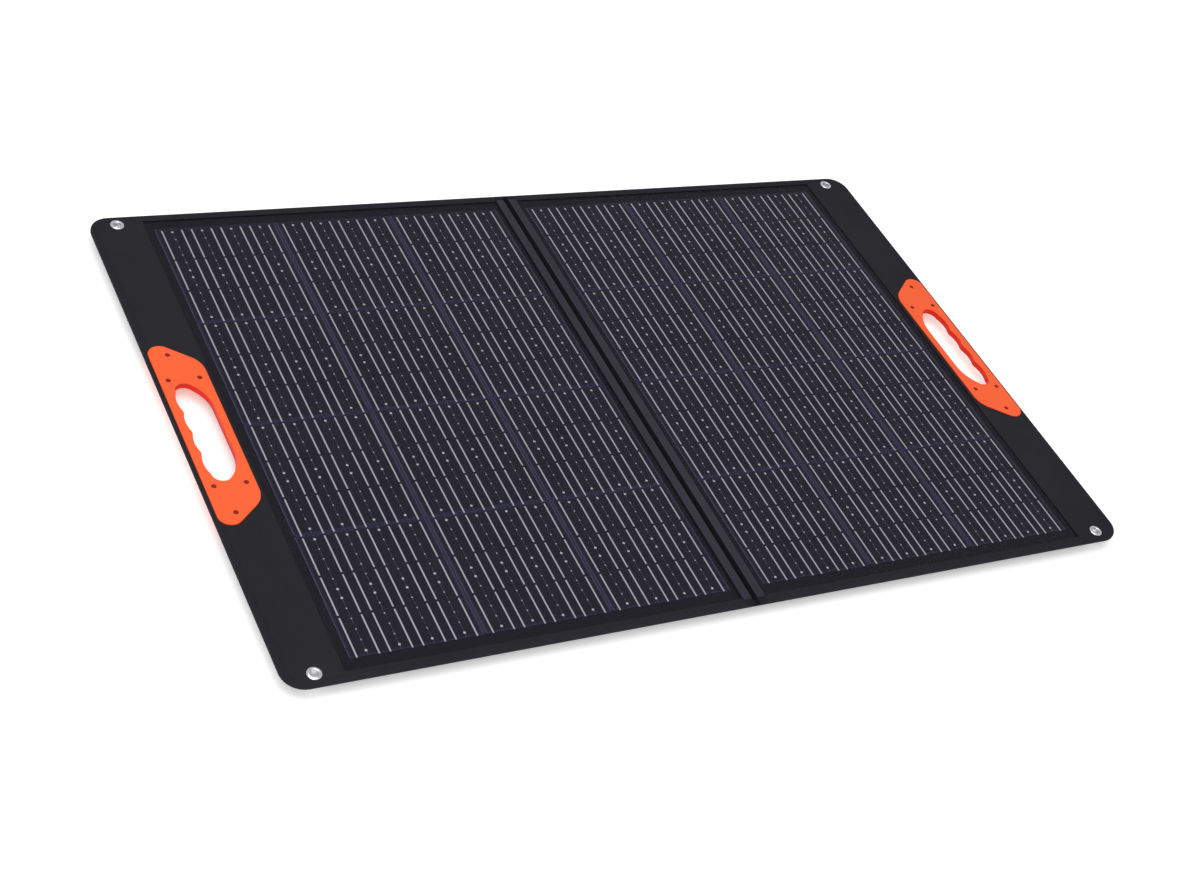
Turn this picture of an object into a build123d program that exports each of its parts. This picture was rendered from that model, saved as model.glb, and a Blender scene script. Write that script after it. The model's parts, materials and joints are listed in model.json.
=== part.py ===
"""Two-fold solar panel for camping: two fabric-covered halves that fold face to face.

Millimetres. +X runs along the long side, +Y towards the far edge, +Z up out of the cells.
The origin is the middle of the footprint, on the surface that the spread-out panel lies on.
Every piece that both halves have is made by one function, called with side -1 for the
left half and +1 for the right half.
"""
import os

from build123d import *

os.makedirs("parts", exist_ok=True)

# ------------------------------------------------------------------ driving dimensions
panel_length = 838.0
panel_width = 540.0
corner_radius = 19.0
underside_height = 12.0  # held off the ground by the output box and the pocket

# the layers of a half, from the back to the face
cover_thickness = 0.6
board_thickness = 1.6
backsheet_thickness = 0.2
cell_thickness = 0.2
ribbon_thickness = 0.1
film_thickness = 0.3
hinge_strip_thickness = 0.4

# the fold line
crease_half_gap = 0.15
hinge_web_edge = 10.6
board_inner = 11.0
window_inner = 12.0

# the window and what shows in it
window_outer = 370.0
window_half_width = 261.75
board_outer = 373.0
laminate_half_width = 265.0
column_count = 3
column_pitch = 115.65
cell_width = 113.65
block_count = 4
block_pitch = 125.6
cells_per_block = 3
cell_row_pitch = 41.4
cell_length = 41.0
field_centre = 189.55
ribbons_per_column = 12
ribbon_pitch = 9.24
ribbon_width = 1.5
fine_ribbon_width = 0.7

# the outer flap and its grip
flap_inner = 374.0
edge_tape_width = 2.4
edge_clearance = 0.2
handle_outer = 416.0
handle_inner = 373.0
handle_centre_y = -3.5
handle_outer_corner = 115.0
handle_inner_corner = 79.8
handle_outer_radius = 10.7
handle_inner_radius = 22.0
handle_proud_front = 1.1
handle_proud_back = 1.7
handle_rounding = 0.8
grip_groove = 408.6
grip_bump = 406.1
grip_inner = 380.0
grip_outer_corner = 70.0
grip_inner_corner = 41.0
grip_outer_radius = 8.6
grip_inner_radius = 38.0
groove_count = 4
groove_pitch = 23.5
bump_radius = 8.0
collar_wall = 1.6
screw_end_inset = 19.0
screw_end_y = 90.9
screw_pair_insets = (10.6, 37.75)
screw_pair_y = 61.0
screw_head_radius = 2.1
screw_head_depth = 0.5
screw_recess_depth = 0.7
screw_socket_radius = 1.1
screw_socket_depth = 0.3
screw_end_gap = 0.2
screw_shaft_radius = 1.2
screw_clearance = 0.2
blind_floor = 0.6
magnet_x = 395.0
magnet_y = 150.0
magnet_radius = 7.5
magnet_thickness = 2.0

# the eyelets
grommet_inset_x = 25.35
grommet_inset_y = 11.25
grommet_flange_radius = 6.2
grommet_barrel_radius = 3.7
grommet_bore_radius = 3.1
grommet_flange_height = 0.8

# the two stands, folded flat against the back
stand_inner = 195.0
stand_outer = 345.0
stand_free_y = -150.0
stand_hinge_y = 170.0
stand_top = 11.0
stand_thickness = 4.0
stand_skin = 0.8
stand_corner_radius = 12.0
stand_tape_thickness = 0.7
stand_tape_half_length = 70.0
stand_tape_width = 46.0
snap_y = -132.0
snap_socket_radius = 6.0
snap_hole_radius = 2.7
snap_head_radius = 2.3
snap_post_radius = 2.0
snap_cap_radius = 6.5
snap_cap_height = 0.8
snap_cap_rounding = 0.5
snap_stud_height = 0.7
tab_width = 26.0
tab_length = 24.0
tab_thickness = 1.2
tab_corner_radius = 3.0

# the output box on the left half
box_x = -100.0
box_length = 130.0
box_width = 80.0
box_wall = 1.8
box_corner_radius = 8.0
lid_height = 3.0
lid_rounding = 1.4
box_boss_radius = 4.0
box_screw_inset = 8.5
circuit_board_thickness = 1.2
usb_a_x = -118.0
usb_a_size = (13.1, 14.0, 5.7)
usb_c_x = -88.0
usb_c_size = (8.9, 9.0, 3.3)
usb_wall = 0.4
usb_a_tongue = 1.8
usb_c_tongue = 0.7
port_cover_length = 56.0
port_cover_thickness = 2.5
port_cover_low = 2.2
port_cover_high = 10.9
port_cover_rounding = 0.8
moving_clearance = 0.3
lead_gland_x = -140.0
lead_gland_barrel_radius = 3.4
lead_gland_flange_radius = 4.2
lead_gland_reach = 8.0
lens_offset = 45.0
lens_radius = 2.0
lens_sink = 0.2
lead_bore_radius = 2.5

# the pocket on the right half
pocket_x = 105.0
pocket_length = 140.0
pocket_bag_low_y = -100.0
pocket_bag_high_y = 56.0
pocket_band_high_y = 98.0
pocket_band_height = 7.0
pocket_wall = 1.2
pocket_corner_radius = 10.0
pocket_rounding = 5.0
junction_box_size = (62.0, 42.0, 8.0)
junction_box_y = -40.0
junction_box_corner_radius = 5.0
junction_box_rounding = 1.5
zip_y = 77.0
zip_tape_thickness = 0.8
zip_tape_width = 24.0
zip_length = 128.0
chain_width = 4.0
chain_length = 120.0
chain_height = 1.0
stop_length = 3.0
stop_height = 1.6
stop_overhang = 0.6
slider_length = 10.0
slider_plate_thickness = 1.3
slider_flange_width = 1.2
slider_flange_inset = 1.5
slider_end_gap = 1.0

# ------------------------------------------------------------------ worked-out heights
z_back = underside_height
z_board = z_back + cover_thickness
z_backsheet = z_board + board_thickness
z_cell = z_backsheet + backsheet_thickness
z_ribbon = z_cell + cell_thickness
z_film = z_ribbon + ribbon_thickness
z_front = z_film + film_thickness
z_face = z_front + cover_thickness
z_handle = z_face + handle_proud_front
core_height = z_front - z_board
z_chain_top = z_back - pocket_band_height - zip_tape_thickness
z_slider_top = z_chain_top - chain_height - moving_clearance
slider_x = pocket_x + chain_length / 2 - stop_length - slider_length / 2 - slider_end_gap
half_length = panel_length / 2
half_width = panel_width / 2
grommet_x = half_length - grommet_inset_x
grommet_y = half_width - grommet_inset_y
half_names = {-1: "left", 1: "right"}
handle_screw_places = [
    (half_length - screw_end_inset, handle_centre_y + end * screw_end_y) for end in (-1, 1)
] + [
    (half_length - inset, handle_centre_y + end * screw_pair_y)
    for inset in screw_pair_insets for end in (-1, 1)
]


# ------------------------------------------------------------------ shared helpers
def save(piece, node):
    """Label a finished piece and write its STEP file."""
    piece.part.label = node
    export_step(piece.part, f"parts/{node}.step")


def on_side(side, places):
    """The same places on one half, given as distances from the fold line."""
    return [(side * x, y) for x, y in places]


def at_handle(side, places):
    """The same places on one half, given as distances from the fold line and the grip's middle."""
    return [(side * x, handle_centre_y + y) for x, y in places]


def is_at(corner, from_fold, from_middle):
    """Whether a corner of a grip outline is at those distances from fold line and grip middle."""
    off_x = abs(abs(corner.X) - from_fold)
    off_y = abs(abs(corner.Y - handle_centre_y) - from_middle)
    return off_x < 0.01 and off_y < 0.01


def strip(side, near, far, reach, mode=Mode.ADD):
    """A rectangle from near to far of the fold line, centred front to back."""
    with Locations((side * (near + far) / 2, 0)):
        Rectangle(far - near, 2 * reach, mode=mode)


def half_outline(side, inset=0.0):
    """One half of the panel's rounded outline, moved in by inset."""
    with BuildSketch() as outline:
        RectangleRounded(
            panel_length - 2 * inset, panel_width - 2 * inset, corner_radius - inset
        )
        strip(side, crease_half_gap, half_length, half_width, mode=Mode.INTERSECT)
    return outline.sketch


def handle_outline(side):
    """The grip plate: long on the outer side, with slanted ends."""
    corners = [
        (handle_outer, -handle_outer_corner),
        (handle_outer, handle_outer_corner),
        (handle_inner, handle_inner_corner),
        (handle_inner, -handle_inner_corner),
    ]
    with BuildSketch() as outline:
        with BuildLine():
            Polyline(at_handle(side, corners), close=True)
        make_face()
        outer = [v for v in outline.vertices() if is_at(v, handle_outer, handle_outer_corner)]
        fillet(outer, handle_outer_radius)
        inner = [v for v in outline.vertices() if is_at(v, handle_inner, handle_inner_corner)]
        fillet(inner, handle_inner_radius)
    return outline.sketch


def grip_hole(side):
    """The hand hole: finger grooves on the outer side, slanted ends, straight inner side."""
    groove_end = groove_count * groove_pitch / 2
    with BuildSketch() as hole:
        with BuildLine():
            for groove in range(groove_count):
                low = groove * groove_pitch - groove_end
                finger = (
                    (grip_bump, low),
                    (grip_groove, low + groove_pitch / 2),
                    (grip_bump, low + groove_pitch),
                )
                ThreePointArc(*at_handle(side, finger))
            plain_side = (
                (grip_bump, groove_end),
                (grip_bump, grip_outer_corner),
                (grip_inner, grip_inner_corner),
                (grip_inner, -grip_inner_corner),
                (grip_bump, -grip_outer_corner),
                (grip_bump, -groove_end),
            )
            Polyline(*at_handle(side, plain_side))
        make_face()
        tips = [v for v in hole.vertices() if is_at(v, grip_bump, grip_outer_corner)]
        fillet(tips, grip_outer_radius)
        shoulders = [v for v in hole.vertices() if is_at(v, grip_inner, grip_inner_corner)]
        fillet(shoulders, grip_inner_radius)
        bumps = [v for v in hole.vertices() if is_at(v, grip_bump, 0)
                 or is_at(v, grip_bump, groove_pitch)]
        fillet(bumps, bump_radius)
    return hole.sketch


def collar_outline(side, grow=0.0):
    """The plain outer shape of the collar that lines the hand hole, moved out by grow."""
    slant = (grip_outer_corner - grip_inner_corner) / (grip_bump - grip_inner)
    outer_corner = grip_outer_corner + slant * (grip_groove - grip_bump)
    corners = [
        (grip_groove, -outer_corner),
        (grip_groove, outer_corner),
        (grip_inner, grip_inner_corner),
        (grip_inner, -grip_inner_corner),
    ]
    with BuildSketch() as outline:
        with BuildLine():
            Polyline(at_handle(side, corners), close=True)
        make_face()
        outer_corners = [v for v in outline.vertices() if is_at(v, grip_groove, outer_corner)]
        fillet(outer_corners, grip_outer_radius)
        offset(amount=collar_wall + grow, mode=Mode.REPLACE)
    return outline.sketch


def flap_holes(side):
    """Cut, in the open sketch, what passes through the flap: grip, screws and eyelets."""
    add(collar_outline(side, edge_clearance), mode=Mode.SUBTRACT)
    with Locations(on_side(side, handle_screw_places)):
        Circle(screw_shaft_radius + screw_clearance, mode=Mode.SUBTRACT)
    with Locations((side * grommet_x, grommet_y), (side * grommet_x, -grommet_y)):
        Circle(grommet_barrel_radius + edge_clearance, mode=Mode.SUBTRACT)


# ------------------------------------------------------------------ layers of one half
def back_cover(side):
    """The back fabric, one sheet over the whole half."""
    with BuildPart() as cover:
        with BuildSketch(Plane.XY.offset(z_back)):
            add(half_outline(side))
            flap_holes(side)
        extrude(amount=cover_thickness)
    save(cover, f"{half_names[side]}_back_cover")


def front_cover(side):
    """The face fabric, a frame round the window."""
    with BuildPart() as cover:
        with BuildSketch(Plane.XY.offset(z_front)):
            add(half_outline(side))
            strip(side, window_inner, window_outer, window_half_width, mode=Mode.SUBTRACT)
            flap_holes(side)
        extrude(amount=cover_thickness)
    save(cover, f"{half_names[side]}_front_cover")


def edge_tape(side):
    """The tape that closes the edge between the two covers, all round but the fold."""
    with BuildPart() as tape:
        with BuildSketch(Plane.XY.offset(z_board)):
            add(half_outline(side))
            add(half_outline(side, edge_tape_width), mode=Mode.SUBTRACT)
            strip(side, 0, hinge_web_edge, half_width, mode=Mode.SUBTRACT)
        extrude(amount=core_height)
    save(tape, f"{half_names[side]}_edge_tape")


def core_board(side):
    """The stiff board that carries the cells."""
    with BuildPart() as board:
        with BuildSketch(Plane.XY.offset(z_board)):
            strip(side, board_inner, board_outer, half_width - edge_tape_width - edge_clearance)
        extrude(amount=board_thickness)
    save(board, f"{half_names[side]}_core_board")


def backsheet(side):
    """The black sheet under the cells."""
    with BuildPart() as sheet:
        with BuildSketch(Plane.XY.offset(z_backsheet)):
            strip(side, board_inner, board_outer, laminate_half_width)
        extrude(amount=backsheet_thickness)
    save(sheet, f"{half_names[side]}_backsheet")


def cells(side):
    """The cells: columns of blocks, each block cut into short rows."""
    with BuildPart() as field:
        with BuildSketch(Plane.XY.offset(z_cell)):
            with Locations((side * field_centre, 0)):
                with GridLocations(column_pitch, block_pitch, column_count, block_count):
                    with GridLocations(1, cell_row_pitch, 1, cells_per_block):
                        Rectangle(cell_width, cell_length)
        extrude(amount=cell_thickness)
    save(field, f"{half_names[side]}_cells")


def ribbons(side):
    """The collector ribbons along each column: two wide ones, then a fine one, and so on."""
    field_length = (
        (block_count - 1) * block_pitch + (cells_per_block - 1) * cell_row_pitch + cell_length
    )
    with BuildPart() as lines:
        with BuildSketch(Plane.XY.offset(z_ribbon)):
            with Locations((side * field_centre, 0)):
                with GridLocations(column_pitch, 1, column_count, 1):
                    for line in range(ribbons_per_column):
                        is_fine = line % 3 == 1
                        width = fine_ribbon_width if is_fine else ribbon_width
                        with Locations(((line - (ribbons_per_column - 1) / 2) * ribbon_pitch, 0)):
                            Rectangle(width, field_length)
        extrude(amount=ribbon_thickness)
    save(lines, f"{half_names[side]}_ribbons")


def front_film(side):
    """The clear film over the cells."""
    with BuildPart() as film:
        with BuildSketch(Plane.XY.offset(z_film)):
            strip(side, board_inner, board_outer, laminate_half_width)
        extrude(amount=film_thickness)
    save(film, f"{half_names[side]}_front_film")


def hinge_web(side):
    """The flexible web inside the covers, between the board and the crease."""
    with BuildPart() as web:
        with BuildSketch(Plane.XY.offset(z_board)):
            reach = half_width - edge_tape_width - edge_clearance
            strip(side, crease_half_gap, hinge_web_edge, reach)
        extrude(amount=core_height)
    save(web, f"{half_names[side]}_hinge_web")


def hinge_strip(side):
    """The reinforcing strip sewn on the face between the crease and the window."""
    strip_inner = 1.6
    strip_end_inset = 6.5
    with BuildPart() as band:
        with BuildSketch(Plane.XY.offset(z_face)):
            strip(side, strip_inner, window_inner, half_width - strip_end_inset)
        extrude(amount=hinge_strip_thickness)
    save(band, f"{half_names[side]}_hinge_strip")


# ------------------------------------------------------------------ flap, grip and eyelets
def flap_stiffener(side):
    """The bendable stiffener inside the outer flap."""
    with BuildPart() as stiffener:
        with BuildSketch(Plane.XY.offset(z_board)):
            add(half_outline(side, edge_tape_width + edge_clearance))
            strip(side, flap_inner, half_length, half_width, mode=Mode.INTERSECT)
            flap_holes(side)
            with Locations((side * magnet_x, magnet_y), (side * magnet_x, -magnet_y)):
                Circle(magnet_radius + edge_clearance, mode=Mode.SUBTRACT)
        extrude(amount=core_height)
    save(stiffener, f"{half_names[side]}_flap_stiffener")


def magnets(side):
    """The closing magnets, sealed in the flap."""
    with BuildPart() as pair:
        with BuildSketch(Plane.XY.offset(z_board + (core_height - magnet_thickness) / 2)):
            with Locations((side * magnet_x, magnet_y), (side * magnet_x, -magnet_y)):
                Circle(magnet_radius)
        extrude(amount=magnet_thickness)
    save(pair, f"{half_names[side]}_magnets")


def handle_front(side):
    """The front grip plate with the collar that lines the hand hole down to the back plate."""
    with BuildPart() as plate:
        with BuildSketch(Plane.XY.offset(z_face)):
            add(handle_outline(side))
        extrude(amount=handle_proud_front)
        with BuildSketch(Plane.XY.offset(z_back)):
            add(collar_outline(side))
        extrude(amount=z_face - z_back)
        with BuildSketch(Plane.XY.offset(z_back)):
            add(grip_hole(side))
        extrude(amount=z_handle - z_back, mode=Mode.SUBTRACT)
        top_face = plate.faces().filter_by(Axis.Z).sort_by(Axis.Z)[-1]
        fillet(top_face.edges(), handle_rounding)
        with Locations(Plane.XY.offset(z_handle)):
            with Locations(on_side(side, handle_screw_places)):
                CounterBoreHole(
                    radius=screw_shaft_radius + screw_clearance,
                    counter_bore_radius=screw_head_radius + screw_clearance,
                    counter_bore_depth=screw_recess_depth,
                    depth=handle_proud_front,
                )
    save(plate, f"{half_names[side]}_handle_front")


def handle_back(side):
    """The plate behind the flap, with a blind hole for each screw."""
    with BuildPart() as plate:
        with BuildSketch(Plane.XY.offset(z_back - handle_proud_back)):
            add(handle_outline(side))
            add(grip_hole(side), mode=Mode.SUBTRACT)
        extrude(amount=handle_proud_back)
        under_face = plate.faces().filter_by(Axis.Z).sort_by(Axis.Z)[0]
        fillet(under_face.edges(), handle_rounding)
        with BuildSketch(Plane.XY.offset(z_back - handle_proud_back + blind_floor)):
            with Locations(on_side(side, handle_screw_places)):
                Circle(screw_shaft_radius)
        extrude(amount=handle_proud_back - blind_floor, mode=Mode.SUBTRACT)
    save(plate, f"{half_names[side]}_handle_back")


def handle_screws(side):
    """The six screws that clamp the grip plates, with a hexagon socket in each head."""
    head_low = z_handle - screw_recess_depth
    shaft_low = z_back - handle_proud_back + blind_floor + screw_end_gap
    with BuildPart() as screws:
        with BuildSketch(Plane.XY.offset(shaft_low)):
            with Locations(on_side(side, handle_screw_places)):
                Circle(screw_shaft_radius)
        extrude(amount=head_low - shaft_low)
        with BuildSketch(Plane.XY.offset(head_low)):
            with Locations(on_side(side, handle_screw_places)):
                Circle(screw_head_radius)
        extrude(amount=screw_head_depth)
        with BuildSketch(Plane.XY.offset(head_low + screw_head_depth - screw_socket_depth)):
            with Locations(on_side(side, handle_screw_places)):
                RegularPolygon(screw_socket_radius, 6)
        extrude(amount=screw_socket_depth, mode=Mode.SUBTRACT)
    save(screws, f"{half_names[side]}_handle_screws")


def grommets(side):
    """The eyelet at each outer corner: a rolled flange on the face and a barrel through."""
    barrel_low = z_back - grommet_flange_height
    with BuildPart() as eyelets:
        with BuildSketch(Plane.XY.offset(barrel_low)):
            with Locations((side * grommet_x, grommet_y), (side * grommet_x, -grommet_y)):
                Circle(grommet_barrel_radius)
                Circle(grommet_bore_radius, mode=Mode.SUBTRACT)
        extrude(amount=z_face - barrel_low)
        with BuildSketch(Plane.XY.offset(z_face)):
            with Locations((side * grommet_x, grommet_y), (side * grommet_x, -grommet_y)):
                Circle(grommet_flange_radius)
                Circle(grommet_bore_radius, mode=Mode.SUBTRACT)
        extrude(amount=grommet_flange_height)
        rims = eyelets.faces().filter_by(Axis.Z).group_by(Axis.Z)[-1].edges()
        outer_rims = rims.filter_by(lambda rim: rim.radius > grommet_barrel_radius)
        fillet(outer_rims, 0.6 * grommet_flange_height)
    save(eyelets, f"{half_names[side]}_grommets")


def grommet_washers(side):
    """The ring that each eyelet is clenched over on the back."""
    with BuildPart() as washers:
        with BuildSketch(Plane.XY.offset(z_back - grommet_flange_height)):
            with Locations((side * grommet_x, grommet_y), (side * grommet_x, -grommet_y)):
                Circle(grommet_flange_radius)
                Circle(grommet_barrel_radius, mode=Mode.SUBTRACT)
        extrude(amount=grommet_flange_height)
    save(washers, f"{half_names[side]}_grommet_washers")


# ------------------------------------------------------------------ stands on the back
def stand_centre(side):
    return (side * (stand_inner + stand_outer) / 2, (stand_free_y + stand_hinge_y) / 2)


def stand_board(side):
    """The stiff board inside the stand's sleeve."""
    board_inset = stand_skin + edge_clearance
    with BuildPart() as board:
        with BuildSketch(Plane.XY.offset(stand_top - stand_thickness + stand_skin)):
            with Locations(stand_centre(side)):
                RectangleRounded(
                    stand_outer - stand_inner - 2 * board_inset,
                    stand_hinge_y - stand_free_y - 2 * board_inset,
                    stand_corner_radius - board_inset,
                )
            with Locations((side * (stand_inner + stand_outer) / 2, snap_y)):
                Circle(snap_post_radius, mode=Mode.SUBTRACT)
        extrude(amount=stand_thickness - stand_skin)
    save(board, f"{half_names[side]}_stand_board")


def stand_cover(side):
    """The fabric sleeve of the stand: its outer skin and the wall round the board."""
    with BuildPart() as sleeve:
        with BuildSketch(Plane.XY.offset(stand_top - stand_thickness)):
            with Locations(stand_centre(side)):
                RectangleRounded(
                    stand_outer - stand_inner, stand_hinge_y - stand_free_y, stand_corner_radius
                )
        extrude(amount=stand_thickness)
        with BuildSketch(Plane.XY.offset(stand_top - stand_thickness + stand_skin)):
            with Locations(stand_centre(side)):
                RectangleRounded(
                    stand_outer - stand_inner - 2 * stand_skin,
                    stand_hinge_y - stand_free_y - 2 * stand_skin,
                    stand_corner_radius - stand_skin,
                )
        extrude(amount=stand_thickness - stand_skin, mode=Mode.SUBTRACT)
        with BuildSketch(Plane.XY.offset(stand_top - stand_thickness)):
            with Locations((side * (stand_inner + stand_outer) / 2, snap_y)):
                Circle(snap_post_radius)
        extrude(amount=stand_skin, mode=Mode.SUBTRACT)
    save(sleeve, f"{half_names[side]}_stand_cover")


def stand_snap(side):
    """The snap's cap on the outer face, its post through the stand, and its stud."""
    cap_low = stand_top - stand_thickness - snap_cap_height
    with BuildPart() as snap:
        with Locations((side * (stand_inner + stand_outer) / 2, snap_y, cap_low)):
            Cylinder(snap_cap_radius, snap_cap_height,
                     align=(Align.CENTER, Align.CENTER, Align.MIN))
        fillet(snap.faces().sort_by(Axis.Z)[0].edges(), snap_cap_rounding)
        with Locations((side * (stand_inner + stand_outer) / 2, snap_y, stand_top - stand_thickness)):
            Cylinder(snap_post_radius, stand_thickness,
                     align=(Align.CENTER, Align.CENTER, Align.MIN))
        with Locations((side * (stand_inner + stand_outer) / 2, snap_y, stand_top)):
            Cylinder(snap_head_radius, snap_stud_height,
                     align=(Align.CENTER, Align.CENTER, Align.MIN))
    save(snap, f"{half_names[side]}_stand_snap")


def snap_socket(side):
    """The snap's socket, fixed to the back under the stand's free end."""
    with BuildPart() as socket:
        with BuildSketch(Plane.XY.offset(z_back - stand_tape_thickness)):
            with Locations((side * (stand_inner + stand_outer) / 2, snap_y)):
                Circle(snap_socket_radius)
                Circle(snap_hole_radius, mode=Mode.SUBTRACT)
        extrude(amount=stand_tape_thickness)
    save(socket, f"{half_names[side]}_snap_socket")


def stand_hinge_tape(side):
    """The tape sewn to the back that the stand hangs from."""
    with BuildPart() as tape:
        with BuildSketch(Plane.XY.offset(z_back - stand_tape_thickness)):
            with Locations((side * (stand_inner + stand_outer) / 2, stand_hinge_y)):
                Rectangle(2 * stand_tape_half_length, stand_tape_width)
        extrude(amount=stand_tape_thickness)
    save(tape, f"{half_names[side]}_stand_hinge_tape")


def stand_tab(side):
    """The webbing tab that pulls the stand's free end off its snap."""
    with BuildPart() as tab:
        middle_z = stand_top - stand_thickness / 2
        with BuildSketch(Plane.XY.offset(middle_z - tab_thickness / 2)):
            with Locations((side * (stand_inner + stand_outer) / 2, stand_free_y - tab_length / 2)):
                Rectangle(tab_width, tab_length)
        extrude(amount=tab_thickness)
        fillet(tab.edges().filter_by(Axis.Z).group_by(Axis.Y)[0], tab_corner_radius)
    save(tab, f"{half_names[side]}_stand_tab")


# ------------------------------------------------------------------ output box, left half
def box_corners():
    reach_x = box_length / 2 - box_screw_inset
    reach_y = box_width / 2 - box_screw_inset
    return [(box_x + i * reach_x, j * reach_y) for i in (-1, 1) for j in (-1, 1)]


def output_box_base():
    """The upper shell: its plate lies on the back cover and its walls come down to the lid."""
    wall_height = z_back - lid_height
    through_wall = 2 * box_wall + 1
    with BuildPart() as base:
        with BuildSketch(Plane.XY.offset(lid_height)):
            with Locations((box_x, 0)):
                RectangleRounded(box_length, box_width, box_corner_radius)
        extrude(amount=wall_height)
        with BuildSketch(Plane.XY.offset(lid_height)):
            with Locations((box_x, 0)):
                RectangleRounded(
                    box_length - 2 * box_wall, box_width - 2 * box_wall, box_corner_radius - box_wall
                )
            with Locations(box_corners()):
                Circle(box_boss_radius, mode=Mode.SUBTRACT)
        extrude(amount=wall_height - box_wall, mode=Mode.SUBTRACT)
        with BuildSketch(Plane.XY.offset(lid_height)):
            with Locations(box_corners()):
                Circle(screw_shaft_radius)
        extrude(amount=wall_height - box_wall, mode=Mode.SUBTRACT)
        socket_top = z_back - box_wall - circuit_board_thickness
        for centre_x, size in ((usb_a_x, usb_a_size), (usb_c_x, usb_c_size)):
            with Locations((centre_x, -box_width / 2, socket_top - size[2] / 2)):
                Box(size[0] + 2 * edge_clearance, through_wall, size[2] + edge_clearance,
                    mode=Mode.SUBTRACT)
        with Locations(Location((lead_gland_x, box_width / 2, (lid_height + z_back) / 2), (90, 0, 0))):
            Cylinder(lead_gland_barrel_radius, through_wall, mode=Mode.SUBTRACT)
    save(base, "output_box_base")


def output_box_lid():
    """The lower shell, with its bosses, screw recesses and the hole for the status lens."""
    with BuildPart() as lid:
        with BuildSketch():
            with Locations((box_x, 0)):
                RectangleRounded(box_length, box_width, box_corner_radius)
        extrude(amount=lid_height)
        fillet(lid.faces().sort_by(Axis.Z)[0].edges(), lid_rounding)
        with BuildSketch(Plane.XY.offset(box_wall)):
            with Locations((box_x, 0)):
                RectangleRounded(
                    box_length - 2 * box_wall, box_width - 2 * box_wall, box_corner_radius - box_wall
                )
            with Locations(box_corners()):
                Circle(box_boss_radius, mode=Mode.SUBTRACT)
        extrude(amount=lid_height - box_wall, mode=Mode.SUBTRACT)
        with BuildSketch():
            with Locations(box_corners()):
                Circle(screw_head_radius + screw_clearance)
        extrude(amount=screw_recess_depth, mode=Mode.SUBTRACT)
        with BuildSketch():
            with Locations(box_corners()):
                Circle(screw_shaft_radius + screw_clearance)
        extrude(amount=lid_height, mode=Mode.SUBTRACT)
        with BuildSketch():
            with Locations((box_x + lens_offset, 0)):
                Circle(lens_radius)
        extrude(amount=lid_height, mode=Mode.SUBTRACT)
    save(lid, "output_box_lid")


def output_box_screws():
    """The four screws that hold the lid, their heads sunk in its outer face."""
    head_low = screw_recess_depth - screw_head_depth
    shaft_high = z_back - box_wall - blind_floor
    with BuildPart() as screws:
        with BuildSketch(Plane.XY.offset(head_low)):
            with Locations(box_corners()):
                Circle(screw_head_radius)
        extrude(amount=screw_head_depth)
        with BuildSketch(Plane.XY.offset(screw_recess_depth)):
            with Locations(box_corners()):
                Circle(screw_shaft_radius)
        extrude(amount=shaft_high - screw_recess_depth)
        with BuildSketch(Plane.XY.offset(head_low)):
            with Locations(box_corners()):
                RegularPolygon(screw_socket_radius, 6)
        extrude(amount=screw_socket_depth, mode=Mode.SUBTRACT)
    save(screws, "output_box_screws")


def controller_board():
    """The charge circuit board, held flat against the base plate between the bosses."""
    low = z_back - box_wall - circuit_board_thickness
    board_end_inset = 17.0
    chip_length, chip_width, chip_height = 16.0, 12.0, 3.0
    chip_places = ((-20.0, 12.0), (14.0, 16.0))
    coil_radius, coil_height = 4.5, 5.0
    coil_place = (34.0, -6.0)
    with BuildPart() as board:
        with BuildSketch(Plane.XY.offset(low)):
            with Locations((box_x, -box_wall / 2)):
                Rectangle(box_length - 2 * board_end_inset, box_width - 3 * box_wall)
        extrude(amount=circuit_board_thickness)
        with Locations(*[(box_x + x, y, low - chip_height / 2) for x, y in chip_places]):
            Box(chip_length, chip_width, chip_height)
        with Locations((box_x + coil_place[0], coil_place[1], low - coil_height / 2)):
            Cylinder(coil_radius, coil_height)
    save(board, "controller_board")


def usb_sockets():
    """The two charging sockets: a steel shell with a contact tongue in each."""
    socket_top = z_back - box_wall - circuit_board_thickness
    end_wall = 1.0
    tongue_setback = 1.2
    sockets_to_make = ((usb_a_x, usb_a_size, usb_a_tongue), (usb_c_x, usb_c_size, usb_c_tongue))
    with BuildPart() as sockets:
        for centre_x, (width, depth, height), tongue in sockets_to_make:
            middle_y = edge_clearance - box_width / 2 + depth / 2
            middle_z = socket_top - height / 2
            with Locations((centre_x, middle_y, middle_z)):
                Box(width, depth, height)
            with Locations((centre_x, middle_y - end_wall, middle_z)):
                Box(width - 2 * usb_wall, depth, height - 2 * usb_wall, mode=Mode.SUBTRACT)
            with Locations((centre_x, middle_y + tongue_setback / 2, middle_z)):
                Box(width - 6 * usb_wall, depth - tongue_setback, tongue)
    save(sockets, "usb_sockets")


def port_cover():
    """The rubber flap over the sockets, with a finger lip along its lower edge."""
    inner_y = -box_width / 2 - moving_clearance
    centre_x = (usb_a_x + usb_c_x) / 2
    centre_z = (port_cover_low + port_cover_high) / 2
    lip_length, lip_size, lip_proud = 18.0, 1.4, 1.2
    with BuildPart() as flap:
        with Locations((centre_x, inner_y - port_cover_thickness / 2, centre_z)):
            Box(port_cover_length, port_cover_thickness, port_cover_high - port_cover_low)
        fillet(flap.faces().sort_by(Axis.Y)[0].edges(), port_cover_rounding)
        lip_y = inner_y - port_cover_thickness - lip_proud + lip_size / 2
        with Locations((centre_x, lip_y, port_cover_low + port_cover_rounding + lip_size / 2)):
            Box(lip_length, lip_size, lip_size)
    save(flap, "port_cover")


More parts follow.
